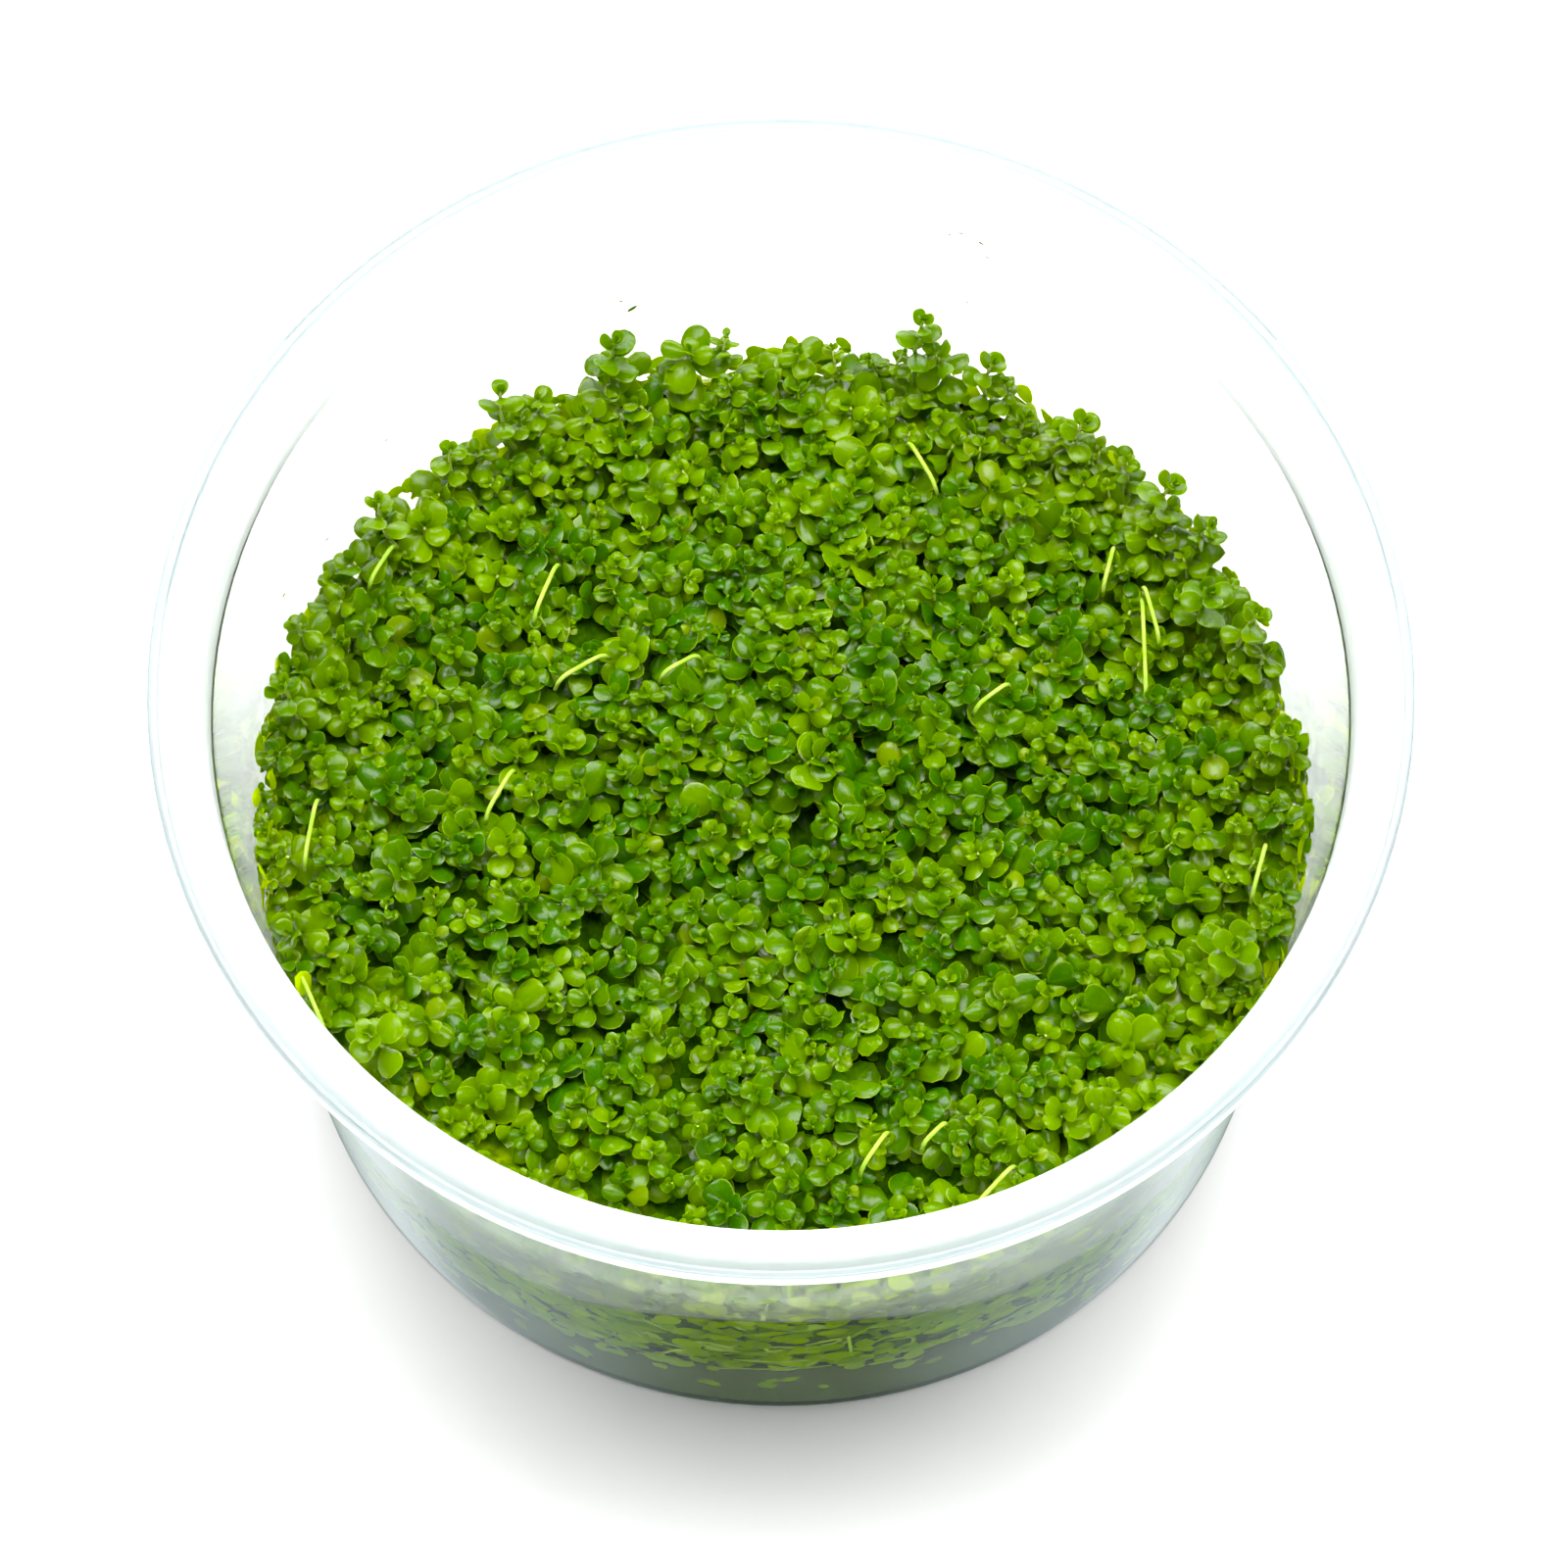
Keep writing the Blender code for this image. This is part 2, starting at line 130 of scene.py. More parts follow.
# Specks of leaf stuck on the inside of the wall: azimuth in degrees, height and length in mm
WALL_SPECKS = (
    (106.0, 40.0, 1.1), (70.4, 52.6, 0.5), (68.1, 52.0, 0.6), (69.1, 42.5, 0.4),
    (138.0, 40.7, 0.5), (149.6, 36.9, 0.5), (158.8, 39.4, 0.6), (71.7, 51.9, 0.4),
    (67.4, 50.2, 0.4), (72.9, 45.7, 0.35), (107.5, 41.2, 0.45),
)

# Refraction: where gel lies on plastic, light goes on nearly straight
PLASTIC_IOR = 1.42
GEL_IOR = 1.34
MATCHED_IOR = 1.01

# Light that has met this many surfaces no longer shows
LIGHT_BOUNCES = 8

# Leafy carpet
CLUMPS = 6
SHOOTS = 505
EDGE_SHOOTS = 98
LOW_SHOOTS = 390
GOLDEN_ANGLE = math.pi * (3.0 - math.sqrt(5.0))

# A few leaves are old and dull; their tint lies above the range of the others
WORN_SHARE = 0.03
WORN_TINT = 1.6

# Down a shoot, pair by pair: how far below the tip, leaf length, and angle from the stem
NODE_DEPTHS = np.array((0.05, 0.30, 0.80, 1.6, 2.7, 4.2)) * MM
LEAF_LENGTHS = np.array((0.68, 1.12, 1.62, 2.05, 2.35, 2.5)) * MM
LEAF_ANGLES = np.radians((16.0, 38.0, 56.0, 68.0, 76.0, 84.0))


# Small helpers

def unit(vectors):
    """Vectors scaled to length one."""
    return vectors / np.linalg.norm(vectors, axis=-1, keepdims=True)


def outer_wall(height):
    """Outer radius of the drafted wall at a height."""
    return BASE_RADIUS + (WALL_TOP_RADIUS - BASE_RADIUS) * height / WALL_TOP


def inner_wall(height):
    """Inner radius of the drafted wall at a height."""
    return outer_wall(height) - WALL_THICKNESS


def relief(x, y):
    """Height of the leafy surface, as in the CAD: a low dome with soft swells."""
    centre_share = 1.0 - (x * x + y * y) / inner_wall(LEAF_LEVEL) ** 2
    swell = np.sin(150 * x + 1.0) + np.sin(170 * y - 95 * x) + np.sin(210 * y + 60 * x)
    return LEAF_LEVEL + LEAF_DOME * centre_share + 0.35 * MM * swell


def from_front(angle):
    """How far an angle round the cup lies from the front, in radians."""
    return np.abs((angle + 1.5 * math.pi) % math.tau - math.pi)


def wet_line(angle):
    """Height of the gel's edge on the wall: highest at the front, with small waves."""
    front = 7.6 * np.exp(-((from_front(angle) / 0.40) ** 2))
    back = 3.0 * np.clip((from_front(angle) - 1.0) / 1.5, 0.0, 1.0)
    waves = 0.35 * np.sin(7.0 * angle + 0.6) + 0.25 * np.sin(17.0 * angle)
    return (22.4 + front + back + waves) * MM


def band_foot(angle):
    """Height down to which the buried leaves are dense."""
    front = 3.2 * np.exp(-((from_front(angle) / 0.42) ** 2))
    waves = 0.5 * np.sin(9.0 * angle + 2.0) + 0.4 * np.sin(23.0 * angle)
    return (10.3 + front + waves) * MM


def set_back(places):
    """Places in plan, drawn in from the wall at the back."""
    radius = np.hypot(*places.T)
    sine = np.maximum(places[:, 1] / np.maximum(radius, 1e-9), 0.0)
    return places * (1.0 - BACK_SETBACK / inner_wall(LEAF_LEVEL) * sine ** 2)[:, None]


def keep_inside(points, clearance=0.06 * MM, softness=0.5 * MM):
    """Press points that would cross the cup's wall against its inside."""
    radius = np.hypot(points[..., 0], points[..., 1])
    limit = inner_wall(points[..., 2]) - clearance
    excess = np.maximum(radius - (limit - softness), 0.0)
    pressed = limit - softness + softness * (1.0 - np.exp(-excess / softness))
    scale = np.where(excess > 0.0, pressed / np.maximum(radius, 1e-9), 1.0)
    points[..., 0] *= scale
    points[..., 1] *= scale
    return points


class Body:
    """Points, faces and marks of many small closed bodies, to become one mesh."""

    def __init__(self):
        self.points, self.marks = [], []
        self.corners, self.sizes, self.materials = [], [], []
        self.count = 0

    def add(self, points, faces, marks, slots=0):
        """points and marks are (copies, vertices, n); faces are index tuples of one copy.

        slots is the material number of all faces, or one for each face of a copy.
        """
        copies, vertices = points.shape[:2]
        starts = self.count + vertices * np.arange(copies)
        flat = np.concatenate([np.array(face) for face in faces])
        self.corners.append((starts[:, None] + flat[None, :]).ravel())
        self.sizes.append(np.tile([len(face) for face in faces], copies))
        self.materials.append(np.tile(np.broadcast_to(slots, len(faces)), copies))
        self.points.append(points.reshape(-1, 3))
        self.marks.append(np.broadcast_to(marks, (copies, vertices, 4)).reshape(-1, 4))
        self.count += copies * vertices

    def make(self, name, *materials):
        """The mesh object, smooth shaded, with its marks in the colour attribute leaf."""
        points = np.concatenate(self.points)
        corners = np.concatenate(self.corners)
        sizes = np.concatenate(self.sizes)
        mesh = bpy.data.meshes.new(name)
        mesh.vertices.add(len(points))
        mesh.vertices.foreach_set("co", points.ravel())
        mesh.loops.add(len(corners))
        mesh.loops.foreach_set("vertex_index", corners)
        mesh.polygons.add(len(sizes))
        mesh.polygons.foreach_set("loop_start", np.cumsum(sizes) - sizes)
        for material in materials:
            mesh.materials.append(material)
        mesh.polygons.foreach_set("material_index", np.concatenate(self.materials))
        mesh.update(calc_edges=True)
        marks = mesh.attributes.new("leaf", "FLOAT_COLOR", "POINT")
        marks.data.foreach_set("color", np.concatenate(self.marks).ravel())
        mesh.shade_smooth()
        mesh.set_sharp_from_angle(angle=SHARP_ANGLE)
        made = bpy.data.objects.new(name, mesh)
        bpy.context.scene.collection.objects.link(made)
        return made


# Leaves

def leaf_form(stations, across):
    """Shares along and across one leaf, upper or lower side, and its faces."""
    blade = 0.5 - 0.5 * np.cos(np.linspace(0.14, 1.0, stations + 1)[:-1] * math.pi)
    rings = len(blade) + 2
    top = np.sin(np.linspace(-0.5, 0.5, across) * math.pi)
    ring_v = np.concatenate((top, top[-2:0:-1]))
    ring_side = np.concatenate((np.ones(across), -np.ones(across - 2)))
    size = len(ring_v)
    faces = []
    for k in range(rings - 1):
        for i in range(size):
            j = (i + 1) % size
            faces.append((k * size + i, k * size + j, (k + 1) * size + j, (k + 1) * size + i))
    base, tip, last = rings * size, rings * size + 1, (rings - 1) * size
    for i in range(size):
        j = (i + 1) % size
        faces.append((j, i, base))
        faces.append((last + i, last + j, tip))
    return {"blade": blade, "v": ring_v, "side": ring_side, "faces": faces}


FINE_LEAF = leaf_form(7, 4)
PLAIN_LEAF = leaf_form(6, 3)
SMALL_LEAF = leaf_form(4, 3)
BUD_LEAF = leaf_form(4, 3)
PETIOLE_SHARE = 0.08


def add_leaves(body, leaves, form):
    """Add a batch of leaves: base, along and face are vectors, the rest one number a leaf."""
    base, along, face = leaves["base"], unit(leaves["along"]), leaves["face"]
    face = unit(face - along * np.sum(face * along, axis=1, keepdims=True))
    count = len(base)
    across = np.cross(along, face)
    length, width = leaves["length"][:, None], leaves["width"][:, None]
    bend = leaves["bend"][:, None] + 1e-6

    blade = form["blade"] ** (1.0 / leaves["obovate"][:, None])
    shares = np.concatenate(
        (np.zeros((count, 1)), np.full((count, 1), PETIOLE_SHARE),
         PETIOLE_SHARE + (1.0 - PETIOLE_SHARE) * blade, np.ones((count, 1))), axis=1
    )
    fullness = leaves["fullness"][:, None]
    outline = (1.0 - np.abs(2.0 * form["blade"] - 1.0) ** fullness) ** (1.0 / fullness)
    petiole = np.full((count, 2), 0.2)
    half = np.concatenate((petiole, outline), axis=1) * width / 2
    thick = np.concatenate((np.ones((count, 2)), 0.55 + 0.45 * outline), axis=1)
    thick = thick * leaves["thick"][:, None]

    ahead = length * np.sin(bend * shares) / bend
    drop = length * (1.0 - np.cos(bend * shares)) / bend
    spine = (base[:, None] + along[:, None] * ahead[..., None] - face[:, None] * drop[..., None])
    turn = (bend * shares)[..., None]
    upward = face[:, None] * np.cos(turn) + along[:, None] * np.sin(turn)
    twist = (leaves["twist"][:, None] * shares)[..., None]
    side = across[:, None] * np.cos(twist) + upward * np.sin(twist)
    upward = upward * np.cos(twist) - across[:, None] * np.sin(twist)

    v, lower = form["v"], form["side"]
    cup = leaves["cup"][:, None, None]
    reach = half[..., None] * v
    rise = cup * half[..., None] * v ** 2 + lower * thick[..., None] * np.sqrt(1.0 - v ** 2 + 1e-9)
    rings = (spine[:, :-1, None] + side[:, :-1, None] * reach[..., None]
             + upward[:, :-1, None] * rise[..., None])
    points = np.concatenate(
        (rings.reshape(count, -1, 3), spine[:, :1], spine[:, -1:]), axis=1
    )
    size = len(v)
    along_mark = np.concatenate((np.repeat(shares[:, :-1], size, axis=1),
                                 shares[:, :1], shares[:, -1:]), axis=1)
    across_mark = np.concatenate((np.tile(0.5 + 0.5 * v, shares.shape[1] - 1), [0.5, 0.5]))
    marks = np.stack((
        along_mark,
        np.broadcast_to(across_mark, along_mark.shape),
        np.broadcast_to(leaves["tint"][:, None], along_mark.shape),
        np.broadcast_to(leaves["age"][:, None], along_mark.shape),
    ), axis=-1)
    body.add(keep_inside(points), form["faces"], marks, 0)


def add_stems(body, paths, radii, tints, sides=5):
    """Add a batch of tubes along paths (stems, points, xyz)."""
    count, steps = paths.shape[:2]
    tangents = unit(np.gradient(paths, axis=1))
    guide = np.where(np.abs(tangents[:, :1, 0:1]) > 0.8, [0.0, 1.0, 0.0], [1.0, 0.0, 0.0])
    first = unit(np.cross(tangents, np.broadcast_to(guide, tangents.shape)))
    second = np.cross(tangents, first)
    angles = math.tau * np.arange(sides) / sides
    rings = paths[:, :, None] + radii[..., None, None] * (
        first[:, :, None] * np.cos(angles)[:, None] + second[:, :, None] * np.sin(angles)[:, None]
    )
    points = np.concatenate((rings.reshape(count, -1, 3), paths[:, :1], paths[:, -1:]), axis=1)
    faces = []
    for k in range(steps - 1):
        for i in range(sides):
            j = (i + 1) % sides
            faces.append((k * sides + i, k * sides + j, (k + 1) * sides + j, (k + 1) * sides + i))
    start, end, last = steps * sides, steps * sides + 1, (steps - 1) * sides
    for i in range(sides):
        j = (i + 1) % sides
        faces.append((j, i, start))
        faces.append((last + i, last + j, end))
    along = np.concatenate((np.repeat(np.linspace(0, 1, steps), sides), [0.0, 1.0]))
    marks = np.stack(np.broadcast_arrays(along[None], 0.5, tints[:, None], 0.5), axis=-1)
    body.add(keep_inside(points), faces, marks, 1)


def pick(leaves, chosen):
    """The chosen leaves of a batch."""
    return {key: values[chosen] for key, values in leaves.items()}


def grow(body, tips, leans, scales, stretch, turns, tints, rng, forms, first=0):
    """Add shoots, each a stem under its tip with pairs of leaves set crosswise.

    first is the pair, counted from the bud, that the uppermost leaves are.
    """
    pairs = len(forms)
    kept = slice(first, first + pairs)
    count = len(tips)
    depths = (NODE_DEPTHS[kept] - 0.9 * NODE_DEPTHS[first]) * stretch[:, None]
    steps = 16
    reach = depths[:, -1:] + 0.8 * MM
    below = np.linspace(0.0, 1.0, steps + 1)[None] * reach
    fade = np.exp(-below / (3.2 * MM))[..., None]
    directions = unit(leans[:, None] * fade + np.array((0.0, 0.0, 1.0)) * (1.0 - fade))
    strides = np.diff(below, axis=1)[..., None]
    path = np.concatenate((tips[:, None],
                           tips[:, None] - np.cumsum(directions[:, 1:] * strides, axis=1)), axis=1)
    share = depths / reach * steps
    low = np.minimum(share.astype(int), steps - 1)
    part = (share - low)[..., None]
    rows = np.arange(count)[:, None]
    nodes = path[rows, low] * (1.0 - part) + path[rows, low + 1] * part
    stem = directions[rows, low]

    azimuth = turns[:, None] + np.arange(pairs) * (math.pi / 2)
    azimuth = azimuth + rng.normal(0.0, 0.13, azimuth.shape)
    azimuth = np.stack((azimuth, azimuth + math.pi + rng.normal(0, 0.1, azimuth.shape)), axis=-1)
    flat = np.stack((np.cos(azimuth), np.sin(azimuth), np.zeros_like(azimuth)), axis=-1)
    axis = np.broadcast_to(stem[:, :, None], flat.shape)
    radial = unit(flat - axis * np.sum(flat * axis, axis=-1, keepdims=True))
    angle = LEAF_ANGLES[kept, None] + rng.normal(0.0, 0.24, azimuth.shape)
    angle = np.clip(angle, 0.1, 1.9)[..., None]
    along = axis * np.cos(angle) + radial * np.sin(angle)
    face = axis * np.sin(angle) - radial * np.cos(angle)
    shape = azimuth.shape
    age = np.broadcast_to((np.arange(first, first + pairs) / 5.0)[:, None], shape)
    length = LEAF_LENGTHS[kept, None] * scales[:, None, None] * rng.uniform(0.85, 1.15, shape)
    ratio = rng.normal(0.83, 0.08, shape) - 0.05 * age
    tint = np.clip(tints[:, None, None] + rng.normal(0, 0.10, shape), 0, 1)
    tint = np.where(rng.uniform(size=shape) < WORN_SHARE, WORN_TINT, tint)
    leaves = {
        "base": np.broadcast_to(nodes[:, :, None], flat.shape).reshape(-1, 3),
        "along": along.reshape(-1, 3),
        "face": face.reshape(-1, 3),
        "length": length.ravel(),
        "width": (length * ratio).ravel(),
        "obovate": rng.uniform(0.95, 1.3, shape).ravel(),
        "fullness": rng.uniform(1.8, 2.5, shape).ravel(),
        "bend": (rng.normal(0.50, 0.25, shape) * (0.5 + 0.5 * age)).ravel(),
        "cup": (0.15 - 0.62 * np.minimum(4.0 * age, 1.0) + rng.normal(0, 0.13, shape)).ravel(),
        "twist": rng.normal(0.0, 0.22, shape).ravel(),
        "thick": (0.03 * length + 0.025 * MM).ravel(),
        "tint": tint.ravel(),
        "age": age.ravel(),
    }
    order = np.broadcast_to(np.arange(pairs)[:, None], shape).ravel()
    for form in (FINE_LEAF, PLAIN_LEAF, SMALL_LEAF, BUD_LEAF):
        chosen = np.array([own is form for own in forms])[order]
        if chosen.any():
            add_leaves(body, pick(leaves, chosen), form)
    stem_path = path[:, 1::3]
    shares = np.linspace(0.0, 1.0, stem_path.shape[1])
    radii = np.broadcast_to((0.11 + 0.11 * shares) * MM, stem_path.shape[:2])
    add_stems(body, stem_path, radii * np.sqrt(scales)[:, None], tints)


def spiral(count, reach, jitter, rng, start=0.5):
    """Places in plan on a sunflower spiral, shaken a little."""
    k = np.arange(count)
    radius = reach * np.sqrt((k + start) / count)
    places = np.stack((radius * np.cos(k * GOLDEN_ANGLE), radius * np.sin(k * GOLDEN_ANGLE)), axis=1)
    return places + rng.uniform(-jitter, jitter, places.shape)


def leaning(places, spread, outward, rng):
    """Directions of shoot tips: upright, leaning at random and away from the middle."""
    push = outward[:, None] * unit(places)
    tilt = rng.normal(0.0, spread, places.shape) + push
    return unit(np.concatenate((tilt, np.ones((len(places), 1))), axis=1))


def grow_carpet(bodies, rng):
    """The shoots that make the surface, the ones along the wall and the lower ones."""
    edge = inner_wall(LEAF_LEVEL)
    main = spiral(SHOOTS, edge - 1.6 * MM, 0.9 * MM, rng)
    turn = math.tau * np.arange(EDGE_SHOOTS) / EDGE_SHOOTS + rng.uniform(-0.03, 0.03, EDGE_SHOOTS)
    ring_radius = edge - rng.uniform(0.7, 2.4, EDGE_SHOOTS) * MM
    ring = np.stack((ring_radius * np.cos(turn), ring_radius * np.sin(turn)), axis=1)
    back = np.clip(1.6 * np.sin(turn), 0.0, 1.0)
    sparse = rng.uniform(size=EDGE_SHOOTS) > 0.4 * back
    ring, back = ring[sparse], back[sparse]
    low = spiral(LOW_SHOOTS, edge - 1.2 * MM, 1.3 * MM, rng, start=0.9) @ np.array(
        ((0.8, 0.6), (-0.6, 0.8))
    )
    upper = (BUD_LEAF, PLAIN_LEAF, FINE_LEAF, FINE_LEAF, PLAIN_LEAF, SMALL_LEAF)
    lower = (PLAIN_LEAF, SMALL_LEAF, SMALL_LEAF)
    sets = (
        (set_back(main), 0.8, 0.34, 0.10, 0.98, upper, 0),
        (set_back(ring), 1.2, 0.26, 0.30, 0.95, upper, 0),
        (set_back(low), 0.7, 0.40, 0.05, 1.08, lower, 3),
    )
    for index, (places, rough, spread, outward, size, forms, first) in enumerate(sets):
        count = len(places)
        height = relief(places[:, 0], places[:, 1])
        height = height + np.clip(rng.normal(0.0, 0.6, count), -1.4, 1.2) * rough * MM
        if index == 1:
            height = height + rng.uniform(-2.0, 1.0, count) * MM + 2.0 * MM * back
        if index == 2:
            height = height - rng.uniform(1.2, 3.2, count) * MM
        tips = np.concatenate((places, height[:, None]), axis=1)
        radius = np.hypot(*places.T) / edge
        leans = leaning(places, spread, outward * radius ** 3, rng)
        scales = np.clip(size * np.exp(rng.normal(0.0, 0.26, count)), 0.6, 1.5)
        stretch = rng.uniform(0.85, 1.35, count)
        turns = rng.uniform(0.0, math.tau, count)
        # Shoots near the wall get a lighter tint, up to twice as much at the back: painted light for light
        # coming through the wall from behind, with the edge shoots also taken as younger.
        painted_backlight = 1.0 + np.maximum(places[:, 1], 0.0) / edge
        tints = np.clip(rng.normal(0.42, 0.2, count) + 0.40 * painted_backlight * radius ** 5, 0, 1)
        sector = np.floor(np.arctan2(places[:, 1], places[:, 0]) / math.tau * len(bodies))
        sector = sector.astype(int) % len(bodies)
        for number, body in enumerate(bodies):
            mine = sector == number
            grow(body, tips[mine], leans[mine], scales[mine], stretch[mine], turns[mine],
                 tints[mine], rng, forms, first)


def grow_tall_shoot(row, rng):
    """One tall shoot on the seat and up to the tip that the CAD gives it."""
    azimuth, radius, height, lean, leaf, turn = row
    angle = math.radians(azimuth)
    outward = np.array((math.cos(angle), math.sin(angle), 0.0))
    seat = outward * (radius - lean) * MM
    foot = seat + np.array((0.0, 0.0, relief(seat[0], seat[1]) - 2.2 * MM))
    tip = outward * radius * MM + np.array((0.0, 0.0, height * MM))
    bow = np.array((-outward[1], outward[0], 0.0)) * 0.5 * MM
    share = np.linspace(0.0, 1.0, 12)[:, None]
    path = foot + (tip - foot) * share + bow * 4.0 * share * (1.0 - share)
    body = Body()
    places = (0.30, 0.52, 0.74, 0.90, 0.97, 1.0)
    sizes = (0.9, 1.0, 0.95, 0.72, 0.48, 0.32)
    angles = np.radians((84, 76, 64, 50, 34, 16))
    length = np.repeat(np.array(sizes) * leaf * MM, 2) * rng.uniform(0.9, 1.1, 12)
    pair = np.repeat(np.arange(6), 2)
    at = np.array(places)[pair] * 11
    low = np.minimum(at.astype(int), 10)
    base = path[low] + (path[low + 1] - path[low]) * (at - low)[:, None]
    stem = unit(path[low + 1] - path[low])
    around = math.radians(turn) + pair * math.pi / 2 + np.tile((0.0, math.pi), 6)
    around = around + rng.normal(0.0, 0.12, 12)
    flat = np.stack((np.cos(around), np.sin(around), np.zeros(12)), axis=1)
    radial = unit(flat - stem * np.sum(flat * stem, axis=1, keepdims=True))
    tilt = (angles[pair] + rng.normal(0, 0.1, 12))[:, None]
    age = np.array((0.8, 0.7, 0.55, 0.35, 0.15, 0.0))[pair]
    tint = rng.uniform(0.55, 0.85)
    leaves = {
        "base": base,
        "along": stem * np.cos(tilt) + radial * np.sin(tilt),
        "face": stem * np.sin(tilt) - radial * np.cos(tilt),
        "length": length,
        "width": length * rng.normal(0.82, 0.05, 12),
        "obovate": rng.uniform(1.0, 1.35, 12),
        "fullness": rng.uniform(1.9, 2.4, 12),
        "bend": rng.normal(0.3, 0.2, 12) * (0.3 + age),
        "cup": 0.30 - 0.5 * np.minimum(1.6 * age, 1.0),
        "twist": rng.normal(0.0, 0.2, 12),
        "thick": 0.03 * length + 0.025 * MM,
        "tint": np.clip(tint + rng.normal(0, 0.05, 12), 0, 1),
        "age": age,
    }
    add_leaves(body, leaves, FINE_LEAF)
    radii = np.linspace(0.24, 0.12, 12)[None] * MM
    add_stems(body, path[None], radii, np.array((tint,)), sides=6)
    return body


def grow_wall_leaves(body, count, low, high, depth, lengths, rng, tints):
    """Leaves that lie flat against the inside of the wall.

    low and high give the heights between which they lie, for angles round the cup.
    """
    turn = rng.uniform(0.0, math.tau, count)
    height = low(turn) + (high(turn) - low(turn)) * rng.uniform(0.0, 1.0, count)
    radius = inner_wall(height) - rng.uniform(*depth, count)
    outward = np.stack((np.cos(turn), np.sin(turn), np.zeros(count)), axis=1)
    across = np.stack((-outward[:, 1], outward[:, 0], np.zeros(count)), axis=1)
    way = rng.uniform(0.0, math.tau, count)[:, None]
    upright = np.array((0.0, 0.0, 1.0))
    along = across * np.cos(way) + upright * np.sin(way) + outward * rng.normal(0, 0.12, (count, 1))
    sign = np.where(rng.uniform(size=count) < 0.5, 1.0, -1.0)[:, None]
    face = outward * sign + 0.35 * rng.normal(0, 1, (count, 3))
    length = rng.uniform(*lengths, count)
    leaves = {
        "base": outward * radius[:, None] + upright * height[:, None],
        "along": along,
        "face": face,
        "length": length,
        "width": length * rng.uniform(0.6, 0.85, count),
        "obovate": rng.uniform(0.95, 1.3, count),
        "fullness": rng.uniform(1.9, 2.4, count),
        "bend": rng.normal(0.1, 0.3, count),
        "cup": rng.normal(-0.15, 0.2, count),
        "twist": rng.normal(0.0, 0.25, count),
        "thick": 0.06 * length + 0.02 * MM,
        "tint": np.where(rng.uniform(size=count) < 2.0 * WORN_SHARE, WORN_TINT,
                         rng.uniform(*tints, count)),
        "age": rng.uniform(0.6, 1.0, count),
    }
    add_leaves(body, leaves, SMALL_LEAF)


def grow_wall_stems(body, count, low, high, rng):
    """Creeping stems that run along the inside of the wall."""
    steps = 12
    share = np.linspace(0.0, 1.0, steps)[None]
    turn = rng.uniform(0.0, math.tau, (count, 1))
    sweep = rng.normal(0.0, 0.10, (count, 1))
    curl = rng.normal(0.0, 0.05, (count, 1))
    start = rng.uniform(low, high, (count, 1))
    climb = rng.normal(0.0, 3.0, (count, 1)) * MM
    angle = turn + sweep * share + curl * np.sin(3.0 * share)
    height = start + climb * share + 0.8 * MM * np.sin(5 * share + turn)
    height = np.clip(height, low, wet_line(angle) - 0.5 * MM)
    radius = inner_wall(height) - rng.uniform(0.5, 1.6, (count, 1)) * MM
    paths = np.stack((radius * np.cos(angle), radius * np.sin(angle), height), axis=-1)
    radii = np.full((count, steps), 0.2 * MM) * rng.uniform(0.7, 1.2, (count, 1))
    add_stems(body, paths, radii, rng.uniform(0.3, 1.0, count))


def grow_stray_stems():
    """Bare stems that arch over the leaves, their ends down among them."""
    rows = np.array(STRAY_STEMS) * MM
    start, end = rows[:, None, :2], rows[:, None, 2:]
    share = np.linspace(-0.25, 1.25, 14)[None, :, None]
    plan = start + (end - start) * share
    dip = np.abs(2.0 * share[..., 0] - 1.0) ** 6
    height = relief(plan[..., 0], plan[..., 1]) + 1.1 * MM - 0.15 * MM * dip
    paths = np.concatenate((plan, height[..., None]), axis=-1)
    body = Body()
    tints = np.full(len(rows), 0.6)
    add_stems(body, paths, np.full(paths.shape[:2], 0.19 * MM), tints, sides=7)
    return body


def stick_specks(rng):
    """Specks flat against the inside of the wall."""
    azimuth, height, length = np.array(WALL_SPECKS).T
    turn, height, length = np.radians(azimuth), height * MM, length * MM
    count = len(turn)
    outward = np.stack((np.cos(turn), np.sin(turn), np.zeros(count)), axis=1)
    across = np.stack((-outward[:, 1], outward[:, 0], np.zeros(count)), axis=1)
    upright = np.array((0.0, 0.0, 1.0))
    radius = inner_wall(height) - 0.12 * MM
    leaves = {
        "base": outward * radius[:, None] + upright * height[:, None],
        "along": across + upright * rng.normal(0.0, 0.5, (count, 1)),
        "face": -outward,
        "length": length,
        "width": 0.45 * length,
        "obovate": np.ones(count),
        "fullness": np.full(count, 2.0),
        "bend": np.full(count, 0.05),
        "cup": np.zeros(count),
        "twist": np.zeros(count),
        "thick": 0.1 * length,
        "tint": rng.uniform(0.0, 0.4, count),
        "age": np.ones(count),
    }
    body = Body()
    add_leaves(body, leaves, PLAIN_LEAF)
    return body


# Turned bodies

def arc(centre, radius, start_deg, end_deg, steps):
    """Points (radius, height) along an arc, both ends included."""
    angles = np.radians(np.linspace(start_deg, end_deg, steps + 1))
    return [(centre[0] + radius * math.cos(a), centre[1] + radius * math.sin(a)) for a in angles]


def rounded(corners, steps=4):
    """An open outline through (radius, height, rounding) corners."""
    outline = []
    for i, (r, z, rounding) in enumerate(corners):
        here = np.array((r, z))
        if rounding == 0.0 or i in (0, len(corners) - 1):
            outline.append(tuple(here))
            continue
        before = np.array(corners[i - 1][:2]) - here
        after = np.array(corners[i + 1][:2]) - here
        reach = min(rounding, 0.45 * np.linalg.norm(before), 0.45 * np.linalg.norm(after))
        start = here + before / np.linalg.norm(before) * reach
        end = here + after / np.linalg.norm(after) * reach
        for t in np.linspace(0.0, 1.0, steps + 1):
            outline.append(tuple((1 - t) ** 2 * start + 2 * t * (1 - t) * here + t * t * end))
    return outline


